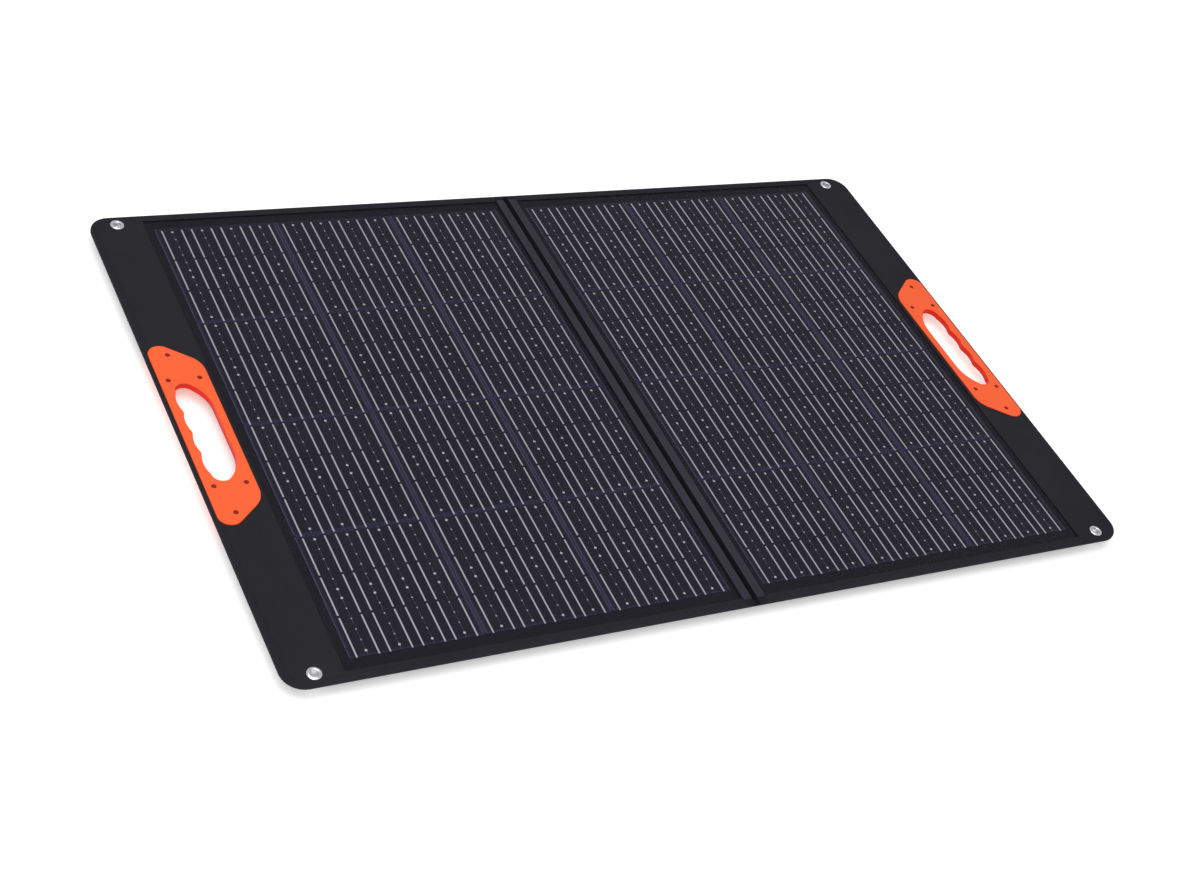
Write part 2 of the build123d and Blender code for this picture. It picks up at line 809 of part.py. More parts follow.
def status_lens():
    """The clear pin that carries the light of the status lamp to the lid's outer face."""
    lens_length = 4.0
    with BuildPart() as lens:
        with Locations((box_x + lens_offset, 0, lens_sink)):
            Cylinder(lens_radius, lens_length, align=(Align.CENTER, Align.CENTER, Align.MIN))
        fillet(lens.faces().sort_by(Axis.Z)[0].edges(), 3 * lens_sink)
    save(lens, "status_lens")


def lead_gland():
    """The rubber bush in the far wall that the output lead leaves through."""
    middle_z = (lid_height + z_back) / 2
    wall_inner_y = box_width / 2 - box_wall
    with BuildPart() as gland:
        with Locations(Location((lead_gland_x, wall_inner_y, middle_z), (-90, 0, 0))):
            Cylinder(lead_gland_barrel_radius, box_wall, align=(Align.CENTER, Align.CENTER, Align.MIN))
        with Locations(Location((lead_gland_x, box_width / 2, middle_z), (-90, 0, 0))):
            Cone(lead_gland_flange_radius, lead_gland_barrel_radius, lead_gland_reach,
                 align=(Align.CENTER, Align.CENTER, Align.MIN))
        with Locations(Location((lead_gland_x, wall_inner_y, middle_z), (-90, 0, 0))):
            Cylinder(lead_bore_radius, box_wall + lead_gland_reach, mode=Mode.SUBTRACT,
                     align=(Align.CENTER, Align.CENTER, Align.MIN))
    save(gland, "lead_gland")


# ------------------------------------------------------------------ pocket, right half
def pocket():
    """The flat pocket: a full-height bag and a lower band that carries the zip."""
    bag_width = pocket_bag_high_y - pocket_bag_low_y
    band_width = pocket_band_high_y - pocket_bag_low_y
    with BuildPart() as bag:
        with BuildSketch():
            with Locations((pocket_x, (pocket_bag_low_y + pocket_bag_high_y) / 2)):
                RectangleRounded(pocket_length, bag_width, pocket_corner_radius)
        extrude(amount=z_back)
        fillet(bag.faces().sort_by(Axis.Z)[0].edges(), pocket_rounding)
        with BuildSketch(Plane.XY.offset(z_back - pocket_band_height)):
            with Locations((pocket_x, (pocket_bag_low_y + pocket_band_high_y) / 2)):
                RectangleRounded(pocket_length, band_width, pocket_corner_radius)
        extrude(amount=pocket_band_height)
        with BuildSketch(Plane.XY.offset(z_back)):
            with Locations((pocket_x, (pocket_bag_low_y + pocket_bag_high_y) / 2)):
                RectangleRounded(
                    pocket_length - 4 * pocket_rounding, bag_width - 4 * pocket_rounding, pocket_rounding
                )
        extrude(amount=-(z_back - pocket_wall), mode=Mode.SUBTRACT)
    save(bag, "pocket")


def junction_box():
    """The slim potted box on the back where the half's own strings are joined."""
    with BuildPart() as box:
        with BuildSketch(Plane.XY.offset(z_back)):
            with Locations((pocket_x, junction_box_y)):
                RectangleRounded(
                    junction_box_size[0], junction_box_size[1], junction_box_corner_radius
                )
        extrude(amount=-junction_box_size[2])
        fillet(box.faces().sort_by(Axis.Z)[0].edges(), junction_box_rounding)
    save(box, "junction_box")


def zip_tape():
    """The tape sewn along the pocket's lower band."""
    with BuildPart() as tape:
        with BuildSketch(Plane.XY.offset(z_chain_top)):
            with Locations((pocket_x, zip_y)):
                Rectangle(zip_length, zip_tape_width)
        extrude(amount=zip_tape_thickness)
    save(tape, "zip_tape")


def zip_chain():
    """The closed chain of teeth, as one ribbed bar with a stop at each end."""
    reach = chain_length / 2 - stop_length / 2
    stop_z = z_chain_top - stop_height / 2
    with BuildPart() as chain:
        with Locations((pocket_x, zip_y, z_chain_top - chain_height / 2)):
            Box(chain_length, chain_width, chain_height)
        with Locations((pocket_x - reach, zip_y, stop_z), (pocket_x + reach, zip_y, stop_z)):
            Box(stop_length, chain_width + 2 * stop_overhang, stop_height)
    save(chain, "zip_chain")


def zip_slider():
    """The slider: a plate over the chain with a guide flange down each side."""
    flange_height = 1.0
    slider_width = chain_width + 2 * moving_clearance + 2 * slider_flange_width
    flange_y = slider_width / 2 - slider_flange_width / 2
    flange_z = z_slider_top + flange_height / 2
    with BuildPart() as slider:
        with Locations((slider_x, zip_y, z_slider_top - slider_plate_thickness / 2)):
            Box(slider_length, slider_width, slider_plate_thickness)
        fillet(slider.edges().filter_by(Axis.Z), slider_flange_width)
        with Locations((slider_x, zip_y - flange_y, flange_z), (slider_x, zip_y + flange_y, flange_z)):
            Box(slider_length - 2 * slider_flange_inset, slider_flange_width, flange_height)
    save(slider, "zip_slider")


def zip_pull():
    """The short webbing tab on the slider."""
    pull_length, pull_width, pull_thickness = 26.0, 5.5, 1.0
    pull_corner_radius = 1.5
    pull_past_slider = 3.0
    pull_x = slider_x + pull_past_slider - pull_length / 2
    with BuildPart() as pull:
        with BuildSketch(Plane.XY.offset(z_slider_top - slider_plate_thickness)):
            with Locations((pull_x, zip_y)):
                RectangleRounded(pull_length, pull_width, pull_corner_radius)
        extrude(amount=-pull_thickness)
    save(pull, "zip_pull")


# ------------------------------------------------------------------ the whole panel
pieces_of_a_half = (
    back_cover, front_cover, edge_tape, core_board, backsheet, cells, ribbons, front_film,
    hinge_web, hinge_strip, flap_stiffener, magnets, handle_front, handle_back, handle_screws,
    grommets, grommet_washers, snap_socket, stand_hinge_tape, stand_board, stand_cover,
    stand_snap, stand_tab,
)
for side_sign in half_names:
    for make_piece in pieces_of_a_half:
        make_piece(side_sign)

for make_piece in (
    output_box_base, output_box_lid, output_box_screws, controller_board, usb_sockets,
    port_cover, status_lens, lead_gland, pocket, junction_box, zip_tape, zip_chain,
    zip_slider, zip_pull,
):
    make_piece()
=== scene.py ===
"""The looks of a two-fold solar panel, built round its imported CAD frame.

Metres, in the frame's own axes: +X along the long side, +Y to the far edge, +Z up out of
the cells. Sizes that the frame can tell are read from it, and the rest are named below.
"""

import json
import math
import random

import bpy
import numpy as np
from mathutils import Matrix, Vector
from mathutils.geometry import delaunay_2d_cdt


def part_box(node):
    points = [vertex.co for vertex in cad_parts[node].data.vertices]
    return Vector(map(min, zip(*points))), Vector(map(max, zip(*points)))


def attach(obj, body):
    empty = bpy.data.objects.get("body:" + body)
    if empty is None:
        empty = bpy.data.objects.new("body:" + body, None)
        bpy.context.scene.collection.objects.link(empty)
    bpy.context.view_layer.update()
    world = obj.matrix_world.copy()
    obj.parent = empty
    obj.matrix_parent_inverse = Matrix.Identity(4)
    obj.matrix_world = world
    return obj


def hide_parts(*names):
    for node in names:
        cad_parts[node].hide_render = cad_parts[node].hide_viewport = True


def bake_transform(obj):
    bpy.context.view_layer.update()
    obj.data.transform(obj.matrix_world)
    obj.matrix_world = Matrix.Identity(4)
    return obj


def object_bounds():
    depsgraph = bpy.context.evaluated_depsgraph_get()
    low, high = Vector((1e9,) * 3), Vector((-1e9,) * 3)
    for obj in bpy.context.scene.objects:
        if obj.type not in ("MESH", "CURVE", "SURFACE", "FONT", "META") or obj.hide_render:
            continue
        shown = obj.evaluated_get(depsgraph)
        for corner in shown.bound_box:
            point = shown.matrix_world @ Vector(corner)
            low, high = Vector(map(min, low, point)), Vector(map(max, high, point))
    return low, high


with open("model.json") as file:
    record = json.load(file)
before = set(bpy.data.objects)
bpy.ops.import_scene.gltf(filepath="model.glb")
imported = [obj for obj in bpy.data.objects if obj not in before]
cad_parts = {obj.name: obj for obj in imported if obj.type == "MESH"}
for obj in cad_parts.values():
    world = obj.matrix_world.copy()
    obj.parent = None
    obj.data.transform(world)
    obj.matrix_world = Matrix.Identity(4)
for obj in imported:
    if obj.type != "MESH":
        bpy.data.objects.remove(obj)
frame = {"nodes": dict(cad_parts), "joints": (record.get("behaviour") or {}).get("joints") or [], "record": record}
cad_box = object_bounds()
MM = 0.001
SIDES = (("left", -1), ("right", 1))
scene = bpy.context.scene

# --- sizes: read from the frame where it tells them, given otherwise
LOW, HIGH = (Vector(corner) for corner in cad_box)
HALF_LENGTH = (HIGH.x - LOW.x) / 2
HALF_WIDTH = (HIGH.y - LOW.y) / 2
Z_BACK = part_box("right_back_cover")[0].z
Z_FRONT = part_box("right_front_cover")[0].z
Z_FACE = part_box("right_front_cover")[1].z
WEB_EDGE = 11.0 * MM
CORNER_RADIUS = 19.0 * MM
SEAM_INSET = 5.6 * MM
SEAM_WIDTH = 1.4 * MM
FACE_SEAM_DEPTH = 0.3 * MM
WINDOW = (12.0 * MM, 370.0 * MM, 261.75 * MM)  # inner and outer distance from the fold, half width
COLUMN_PITCH = 115.65 * MM
BLOCK_PITCH = 125.6 * MM
CELL_FIELD_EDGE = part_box("right_cells")[0].x - MM  # half a gap inside the first column
RIBBON_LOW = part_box("right_ribbons")[0].z
STRIP_FACE = (2.9 * MM, 10.7 * MM)  # the lighter face of a hinge strip, from the fold
GRIP_MIDDLE = (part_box("right_handle_back")[0].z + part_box("right_handle_front")[1].z) / 2

# --- sRGB colours
FABRIC = (40, 40, 45)
WEBBING = (57, 55, 65)
SELVEDGE = (26, 25, 32)
# painted shade down in the fold's crease
CREASE_SHADE = (12, 11, 17)
CELL = (36, 34, 47)
# painted highlight along the cells' column edges
CELL_EDGE_HIGHLIGHT = (80, 78, 92)
GAP_BLUE = (50, 47, 86)
COLUMN_GAP = (45, 43, 68)
BORDER = (25, 24, 32)
RIBBON = (216, 214, 224)
ORANGE = (240, 93, 47)
# painted shade for the grip's hand-hole walls and plate sides
SHADED_ORANGE = (214, 34, 14)


def linear(rgb, strength=1.0):
    """An sRGB colour of 0 to 255 as linear RGBA."""
    channels = [c / 255 for c in rgb]
    curve = [c / 12.92 if c <= 0.04045 else ((c + 0.055) / 1.055) ** 2.4 for c in channels]
    return (*[strength * c for c in curve], 1.0)


# --- node helpers
def new_material(name):
    material = bpy.data.materials.new(name)
    material.use_nodes = True
    tree = material.node_tree
    shader = tree.nodes["Principled BSDF"]
    return material, tree, shader


def add_node(tree, kind, **settings):
    node = tree.nodes.new(kind)
    for key, value in settings.items():
        setattr(node, key, value)
    return node


def feed(tree, socket, value):
    """Links another node's output to a socket, or sets the socket to a plain value."""
    if isinstance(value, bpy.types.NodeSocket):
        tree.links.new(value, socket)
    else:
        socket.default_value = value


def math_node(tree, operation, *values):
    node = add_node(tree, "ShaderNodeMath", operation=operation)
    for socket, value in zip(node.inputs, values):
        feed(tree, socket, value)
    return node.outputs[0]


def weighted_sum(tree, *terms):
    """The sum of some values, each times its weight."""
    total = None
    for value, weight in terms:
        product = math_node(tree, "MULTIPLY", value, weight)
        total = product if total is None else math_node(tree, "ADD", total, product)
    return total


def position(tree):
    """The rest position in the object's own axes: its X, Y and Z outputs and the vector."""
    coordinates = add_node(tree, "ShaderNodeTexCoord")
    split = add_node(tree, "ShaderNodeSeparateXYZ")
    tree.links.new(coordinates.outputs["Object"], split.inputs[0])
    return split.outputs[0], split.outputs[1], split.outputs[2], coordinates.outputs["Object"]


def noise(tree, vector, size, detail=3.0, roughness=0.55):
    """A noise value of about the given feature size in metres."""
    node = add_node(tree, "ShaderNodeTexNoise")
    node.inputs["Scale"].default_value = 1.0 / size
    node.inputs["Detail"].default_value = detail
    node.inputs["Roughness"].default_value = roughness
    tree.links.new(vector, node.inputs["Vector"])
    return node.outputs[0]


def mix_colour(tree, factor, first, second, blend_type="MIX"):
    """A mix of two colours. Each of the three is a value or another node's output."""
    node = add_node(tree, "ShaderNodeMix", data_type="RGBA", blend_type=blend_type)
    for index, value in ((0, factor), (6, first), (7, second)):
        feed(tree, node.inputs[index], value)
    return node.outputs[2]


def surface(tree, shader, colour, roughness, specular=0.5):
    """Gives a shader its colour, roughness and specular level."""
    feed(tree, shader.inputs["Base Color"], colour)
    feed(tree, shader.inputs["Roughness"], roughness)
    shader.inputs["Specular IOR Level"].default_value = specular


def bump(tree, shader, height, distance, strength=1.0):
    node = add_node(tree, "ShaderNodeBump")
    node.inputs["Strength"].default_value = strength
    node.inputs["Distance"].default_value = distance
    tree.links.new(height, node.inputs["Height"])
    tree.links.new(node.outputs[0], shader.inputs["Normal"])


def wave(tree, coordinate, pitch):
    """A sine of the given pitch along one coordinate, from -1 to 1."""
    return math_node(tree, "SINE", math_node(tree, "MULTIPLY", coordinate, 2 * math.pi / pitch))


# --- materials
def woven(name, rgb, pitch, contrast=0.35, roughness=0.85, specular=0.1, depth=0.12 * MM):
    """A plain weave: over-and-under threads of the given pitch, uneven in tone."""
    material, tree, shader = new_material(name)
    x, y, z, vector = position(tree)
    across = wave(tree, math_node(tree, "ADD", x, z), pitch)
    along = wave(tree, math_node(tree, "SUBTRACT", y, z), pitch)
    weave = math_node(tree, "MULTIPLY", across, along)
    weave_tone = math_node(tree, "MULTIPLY_ADD", weave, 0.5, 0.5)
    cloud = noise(tree, vector, 45 * MM)
    fleck = noise(tree, vector, 1.6 * MM, detail=2.0)
    tone = weighted_sum(tree, (weave_tone, contrast), (cloud, 0.55), (fleck, 0.35))
    colour = mix_colour(tree, tone, linear(rgb, 0.42), linear(rgb, 1.05))
    surface(tree, shader, colour, roughness, specular)
    height = math_node(tree, "ADD", weave, math_node(tree, "MULTIPLY", cloud, 2.0))
    bump(tree, shader, height, depth, 0.8)
    return material


def moulded(name, rgb, roughness=0.45, grain=0.5 * MM, depth=0.02 * MM, specular=0.4):
    """Moulded plastic or rubber with a fine spark texture and slow changes of sheen."""
    material, tree, shader = new_material(name)
    vector = position(tree)[3]
    colour = mix_colour(tree, noise(tree, vector, 60 * MM), linear(rgb, 0.9), linear(rgb, 1.06))
    sheen = math_node(tree, "MULTIPLY_ADD", noise(tree, vector, 12 * MM), 0.16, roughness - 0.08)
    surface(tree, shader, colour, sheen, specular)
    bump(tree, shader, noise(tree, vector, grain, detail=2.0), depth)
    return material


def metal(name, rgb, roughness=0.2, brushed=False):
    """Metal with a fine grain, or brushed along one way, and a slightly uneven polish."""
    material, tree, shader = new_material(name)
    x, _, _, vector = position(tree)
    grain = noise(tree, x, 0.12 * MM, detail=1.0) if brushed else noise(tree, vector, 0.8 * MM)
    colour = mix_colour(tree, grain, linear(rgb, 0.82), linear(rgb, 1.0))
    wear = math_node(tree, "MULTIPLY_ADD", noise(tree, vector, 3 * MM), 0.2, roughness - 0.1)
    surface(tree, shader, colour, wear)
    shader.inputs["Metallic"].default_value = 1.0
    bump(tree, shader, grain, 0.004 * MM)
    return material


def inside_band(tree, coordinate, low, high):
    """1 where the coordinate is between low and high, else 0."""
    above = math_node(tree, "GREATER_THAN", coordinate, low)
    below = math_node(tree, "LESS_THAN", coordinate, high)
    return math_node(tree, "MULTIPLY", above, below)


def fade(tree, value, near, far):
    """1 up to near, falling to 0 at far."""
    node = add_node(tree, "ShaderNodeMapRange", clamp=True)
    levels = {"Value": value, "From Min": near, "From Max": far, "To Min": 1.0, "To Max": 0.0}
    for socket_name, level in levels.items():
        feed(tree, node.inputs[socket_name], level)
    return node.outputs[0]


def cell_material():
    """Silicon under clear resin: fine fingers, bluer towards the edges of a column or a block, and a painted
    highlight line along the cells' column edges.
    """
    material, tree, shader = new_material("silicon_cell")
    x, y, _, vector = position(tree)
    fingers = wave(tree, y, 1.3 * MM)
    cloud = noise(tree, vector, 30 * MM)
    crystal = noise(tree, vector, 2.2 * MM, detail=2.0)
    tone = weighted_sum(tree, (cloud, 0.6), (crystal, 0.45), (fingers, 0.12))
    colour = mix_colour(tree, tone, linear(CELL, 0.37), linear(CELL, 1.03))
    from_column = math_node(tree, "SUBTRACT", math_node(tree, "ABSOLUTE", x), CELL_FIELD_EDGE)
    from_column = math_node(tree, "PINGPONG", from_column, COLUMN_PITCH / 2)
    from_block = math_node(tree, "PINGPONG", y, BLOCK_PITCH / 2)
    blue = math_node(tree, "MAXIMUM", fade(tree, from_column, 1.2 * MM, 3.6 * MM),
                     fade(tree, from_block, 0.9 * MM, 2.8 * MM))
    share = math_node(tree, "MULTIPLY", blue, 0.5)
    tint = mix_colour(tree, share, (0, 0, 0, 1), linear(GAP_BLUE, 0.95))
    tinted = mix_colour(tree, 1.0, colour, tint, "ADD")
    # painted highlight: a thin lighter line at each column's cell edges
    rim = math_node(tree, "MULTIPLY", fade(tree, from_column, 1.5 * MM, 1.9 * MM), 0.5)
    surface(tree, shader, mix_colour(tree, rim, tinted, linear(CELL_EDGE_HIGHLIGHT)), 0.42, 0.1)
    bump(tree, shader, fingers, 0.01 * MM)
    return material


def backsheet_material():
    """Blue-black sheet: bluer where it shows between the cells than in the border."""
    material, tree, shader = new_material("black_backsheet")
    x, y, _, vector = position(tree)
    from_fold = math_node(tree, "ABSOLUTE", x)
    field_low, field_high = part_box("right_cells")
    between = math_node(
        tree, "MULTIPLY",
        inside_band(tree, from_fold, field_low.x + MM, field_high.x - MM),
        inside_band(tree, y, field_low.y + MM, field_high.y - MM),
    )
    colour = mix_colour(tree, between, linear(BORDER, 0.8), linear(COLUMN_GAP, 0.85))
    surface(tree, shader, colour, 0.5, 0.1)
    bump(tree, shader, noise(tree, vector, 0.6 * MM), 0.02 * MM)
    return material


def darkened(material, amount, colour):
    """Turns a material's colour to another as amount goes from 0 to 1."""
    tree = material.node_tree
    base = tree.nodes["Principled BSDF"].inputs["Base Color"]
    feed(tree, base, mix_colour(tree, amount, base.links[0].from_socket, linear(colour)))


def fold_strip_material():
    """Webbing whose outer selvedge is as dark as the border beside it."""
    material = woven("fold_strip", WEBBING, 1.3 * MM, depth=0.2 * MM)
    tree = material.node_tree
    from_fold = math_node(tree, "ABSOLUTE", position(tree)[0])
    inner = fade(tree, from_fold, STRIP_FACE[0] - 0.2 * MM, STRIP_FACE[0] + 0.5 * MM)
    outer = fade(tree, from_fold, STRIP_FACE[1] + 0.5 * MM, STRIP_FACE[1] - 0.5 * MM)
    darkened(material, math_node(tree, "MAXIMUM", inner, outer), SELVEDGE)
    return material


def fold_web_material():
    """Fabric with painted shade: it turns black down in the crease."""
    material = woven("fold_web", (34, 34, 38), 1.2 * MM)
    tree = material.node_tree
    from_fold = math_node(tree, "ABSOLUTE", position(tree)[0])
    # painted shade: black within about 3 mm of the fold line
    darkened(material, fade(tree, from_fold, 2.0 * MM, 3.2 * MM), CREASE_SHADE)
    return material


def film_material():
    """Clear film: nearly invisible, with a faint uneven haze and a soft gloss."""
    material, tree, shader = new_material("clear_film")
    haze = noise(tree, position(tree)[3], 25 * MM)
    colour = mix_colour(tree, haze, linear((20, 20, 26)), linear((34, 34, 44)))
    surface(tree, shader, colour, 0.45, 0.15)
    shader.inputs["Alpha"].default_value = 0.04
    return material


def grip_material():
    """Orange moulded plastic, with painted shade: a deeper red-orange down in the hand hole and along the plate's
    sides.
    """
    material = moulded("orange_grip", ORANGE, roughness=0.5, specular=0.18, depth=0.03 * MM)
    tree = material.node_tree
    above_middle = math_node(tree, "SUBTRACT", position(tree)[2], GRIP_MIDDLE)
    from_middle = math_node(tree, "ABSOLUTE", above_middle)
    # painted shade: deeper red-orange on the walls around the grip's middle height
    darkened(material, fade(tree, from_middle, 2.2 * MM, 3.15 * MM), SHADED_ORANGE)
    return material


def lamp_material():
    """A small green status lens, unlit."""
    material, tree, shader = new_material("status_green")
    cloud = noise(tree, position(tree)[3], 1 * MM)
    colour = mix_colour(tree, cloud, linear((60, 150, 80)), linear((110, 210, 120)))
    surface(tree, shader, colour, 0.12)
    return material


FACE_CLOTH = woven("face_cloth", FABRIC, 0.8 * MM, contrast=0.5)
MATERIALS = {
    "cover_fabric": FACE_CLOTH,
    "pocket_fabric": woven("pocket_cloth", (44, 44, 49), 0.9 * MM),
    "webbing": woven("webbing_tape", WEBBING, 1.3 * MM, contrast=0.45, depth=0.2 * MM),
    "fold_strip": fold_strip_material(),
    "hinge_web": fold_web_material(),
    "core_board": moulded("board_grey", (60, 60, 62), roughness=0.7),
    "backsheet": backsheet_material(),
    "cell": cell_material(),
    "ribbon": metal("tinned_ribbon", RIBBON, roughness=0.35, brushed=True),
    "front_film": film_material(),
    "handle": grip_material(),
    "screw": metal("dark_screw", (90, 90, 93), roughness=0.35),
    "magnet": metal("plated_magnet", (190, 190, 190), roughness=0.3),
    "eyelet": metal("bright_eyelet", (225, 225, 230), roughness=0.22),
    "snap": metal("dark_snap", (110, 110, 114), roughness=0.3),
    "box_plastic": moulded("box_black", (40, 40, 42), roughness=0.55, depth=0.06 * MM),
    "circuit_board": moulded("solder_mask", (20, 90, 45), roughness=0.3),
    "socket_shell": metal("socket_steel", (190, 190, 190), roughness=0.3, brushed=True),
    "port_rubber": moulded("port_rubber", (34, 34, 35), roughness=0.75, specular=0.2),
    "lens": lamp_material(),
    "zip_plastic": moulded("zip_black", (30, 30, 31), roughness=0.4),
    "zip_metal": metal("black_slider", (70, 70, 72), roughness=0.35),
}
# the grip screws' dark red-brown is partly their own colour, partly painted shade of their deep recesses
RECESS_SHADED_SCREW = moulded("recess_shaded_screw", (140, 32, 18), roughness=0.5, specular=0.2)
for subpart in frame["record"]["subparts"]:
    for material_slot in frame["nodes"][subpart["node"]].material_slots:
        material_slot.material = MATERIALS[subpart["material_slot"]]
for half_name, _ in SIDES:
    for material_slot in frame["nodes"][f"{half_name}_handle_screws"].material_slots:
        material_slot.material = RECESS_SHADED_SCREW


# --- outlines and flat meshes
def turn_of(corners):
    """1 for corners that run anticlockwise, -1 for clockwise."""
    pairs = zip(corners, corners[1:] + corners[:1])
    return 1 if sum(a[0] * b[1] - b[0] * a[1] for a, b in pairs) > 0 else -1


def filled_in(points, spacing):
    """The same closed loop with points added where two lie further apart than spacing."""
    loop = []
    for a, b in zip(points, points[1:] + points[:1]):
        a, b = Vector(a), Vector(b)
        steps = max(1, math.ceil((b - a).length / spacing))
        loop += [a.lerp(b, k / steps) for k in range(steps)]
    return loop


def outline(corners, radii, inset=0.0, spacing=8 * MM):
    """A closed loop with each corner rounded by its radius, the whole moved inwards by inset."""
    turn = turn_of(corners)
    count = len(corners)
    points = []
    for i in range(count):
        before, here, after = (Vector(corners[(i + k) % count]) for k in (-1, 0, 1))
        way_in, way_out = (here - before).normalized(), (after - here).normalized()
        inward = [Vector((-way.y, way.x)) * turn for way in (way_in, way_out)]
        here = here + (inward[0] + inward[1]) * inset / (1 + inward[0].dot(inward[1]))
        bend = math.atan2(way_in.x * way_out.y - way_in.y * way_out.x, way_in.dot(way_out))
        radius = radii[i] - inset if bend * turn > 0 else radii[i] + inset
        if radii[i] <= 0 or radius <= 0:
            points.append(here)
            continue
        side = math.copysign(1, bend)
        start = here - way_in * radius * math.tan(abs(bend) / 2)
        centre = start + Vector((-way_in.y, way_in.x)) * side * radius
        steps = max(3, math.ceil(abs(bend) / math.radians(9)))
        for k in range(steps + 1):
            arm = start - centre
            arm.rotate(Matrix.Rotation(bend * k / steps, 2))
            points.append(centre + arm)
    return filled_in(points, spacing)


def circle(centre, radius, steps=24):
    angles = [2 * math.pi * k / steps for k in range(steps)]
    return [Vector((centre[0] + radius * math.cos(a), centre[1] + radius * math.sin(a))) for a in angles]


def rectangle(x_low, x_high, y_low, y_high):
    return [(x_low, y_low), (x_high, y_low), (x_high, y_high), (x_low, y_high)]


def half_rectangle(side, x_near, x_far, reach):
    """A rectangle on one side of the fold, from -reach to reach along it."""
    return rectangle(*sorted((side * x_near, side * x_far)), -reach, reach)


def footprint(low, high):
    """The rectangle that a box covers, seen from above."""
    return rectangle(low.x, high.x, low.y, high.y)


def level_at(z):
    """A height that is the same all over."""
    return lambda x, y: np.full_like(x, z)


def within(points, loops):
    """Which points lie inside the loops, holes left out."""
    inside = np.zeros(len(points), bool)
    x, y = points[:, 0:1], points[:, 1:2]
    for loop in loops:
        a = np.array([tuple(p)[:2] for p in loop])
        b = np.roll(a, -1, axis=0)
        spans = (a[:, 1] > y) != (b[:, 1] > y)
        rise = np.where(a[:, 1] == b[:, 1], 1.0, b[:, 1] - a[:, 1])
        crossing = a[:, 0] + (y - a[:, 1]) * (b[:, 0] - a[:, 0]) / rise
        inside ^= (np.sum(spans & (x < crossing), axis=1) % 2).astype(bool)
    return inside


def edge_distance(x, y, loops):
    """The distance of each place from the nearest loop."""
    points = np.stack([x, y], axis=1)[:, None, :]
    nearest = np.full(len(x), 1e9)
    for loop in loops:
        a = np.array([tuple(p)[:2] for p in loop])[None]
        along = np.roll(a, -1, axis=1) - a
        share = np.sum((points - a) * along, axis=2) / np.maximum(np.sum(along ** 2, axis=2), 1e-15)
        offset = points - a - np.clip(share, 0, 1)[..., None] * along
        nearest = np.minimum(nearest, np.sqrt(np.sum(offset ** 2, axis=2)).min(axis=1))
    return nearest


def make_object(name, vertices, faces, material, smooth_angle=40):
    mesh = bpy.data.meshes.new(name)
    mesh.from_pydata([tuple(v) for v in vertices], [], [tuple(f) for f in faces])
    mesh.update()
    mesh.shade_smooth()
    mesh.set_sharp_from_angle(angle=math.radians(smooth_angle))
    piece = bpy.data.objects.new(name, mesh)
    scene.collection.objects.link(piece)
    mesh.materials.append(material)
    return piece


def inner_points(loops, lines, grid):
    """Places on a grid inside the loops, clear of every loop and line."""
    reach = np.array([tuple(p) for p in loops[0]])
    low, high = reach.min(0), reach.max(0)
    xs = np.arange(low[0] + grid / 2, high[0], grid)
    ys = np.arange(low[1] + grid / 2, high[1], grid)
    spots = np.array([(x, y) for x in xs for y in ys])
    clear = edge_distance(spots[:, 0], spots[:, 1], [*loops, *lines]) > 0.4 * grid
    return [Vector(p) for p in spots[clear & within(spots, loops)]]


def triangulated(loops, lines, grid):
    """Points, and anticlockwise triangles that fill the loops and follow the lines."""
    points, edges = [], []
    for loop in [*loops, *lines]:
        first = len(points)
        points += [Vector(tuple(p)[:2]) for p in loop]
        edges += [(first + k, first + (k + 1) % len(loop)) for k in range(len(loop))]
    if grid:
        points += inner_points(loops, lines, grid)
    flat, _, triangles = delaunay_2d_cdt(points, edges, [], 0, 1e-7, False)[:3]
    flat = np.array([tuple(p) for p in flat])
    triangles = np.array([t for t in triangles if len(t) == 3])
    triangles = triangles[within(flat[triangles].mean(axis=1), loops)]
    used = np.unique(triangles)
    fresh = np.full(len(flat), -1)
    fresh[used] = np.arange(len(used))
    flat, triangles = flat[used], fresh[triangles]
    first_edge = flat[triangles[:, 1]] - flat[triangles[:, 0]]
    second_edge = flat[triangles[:, 2]] - flat[triangles[:, 0]]
    area = first_edge[:, 0] * second_edge[:, 1] - first_edge[:, 1] * second_edge[:, 0]
    triangles[area < 0] = triangles[area < 0][:, ::-1]
    return flat, triangles


def slab(name, loops, top, bottom, material, lines=(), grid=0.0):
    """A flat closed piece inside the loops. top and bottom give its heights over x and y;
    lines are extra loops that its mesh follows, and grid is the spacing of its inner points."""
    flat, triangles = triangulated(loops, lines, grid)
    x, y = flat[:, 0], flat[:, 1]
    count = len(flat)
    directed = dict.fromkeys((int(t[k]), int(t[(k + 1) % 3])) for t in triangles for k in range(3))
    rim = [(a, b) for a, b in directed if (b, a) not in directed]
    levels = [np.broadcast_to(np.asarray(height(x, y), float), (count,)) for height in (top, bottom)]
    vertices = np.concatenate([np.stack([x, y, level], 1) for level in levels])
    faces = [list(t) for t in triangles]
    faces += [[t[2] + count, t[1] + count, t[0] + count] for t in triangles]
    faces += [[b, a, a + count, b + count] for a, b in rim]
    return make_object(name, vertices, [[int(i) for i in f] for f in faces], material)


def round_drop(distance, radius):
    """How far a rounded edge has dropped at a distance in from it."""
    return radius - np.sqrt(np.maximum(radius ** 2 - (radius - np.minimum(distance, radius)) ** 2, 0))


def groove(distance, place, width, depth):
    """A soft furrow of that width and depth, at a place in from an edge."""
    return -depth * np.exp(-(((distance - place) / (width / 2)) ** 2))


def ripple(x, y, size, seed):
    """Gentle unevenness between 0 and 1, the same every run."""
    draw = random.Random(seed)
    total = np.zeros_like(x)
    for _ in range(6):
        heading, phase = draw.uniform(0, math.pi), draw.uniform(0, 2 * math.pi)
        wavelength = size * draw.uniform(0.6, 1.8)
        total += np.sin((x * math.cos(heading) + y * math.sin(heading)) * 2 * math.pi / wavelength + phase)
    return 0.5 + total / 12


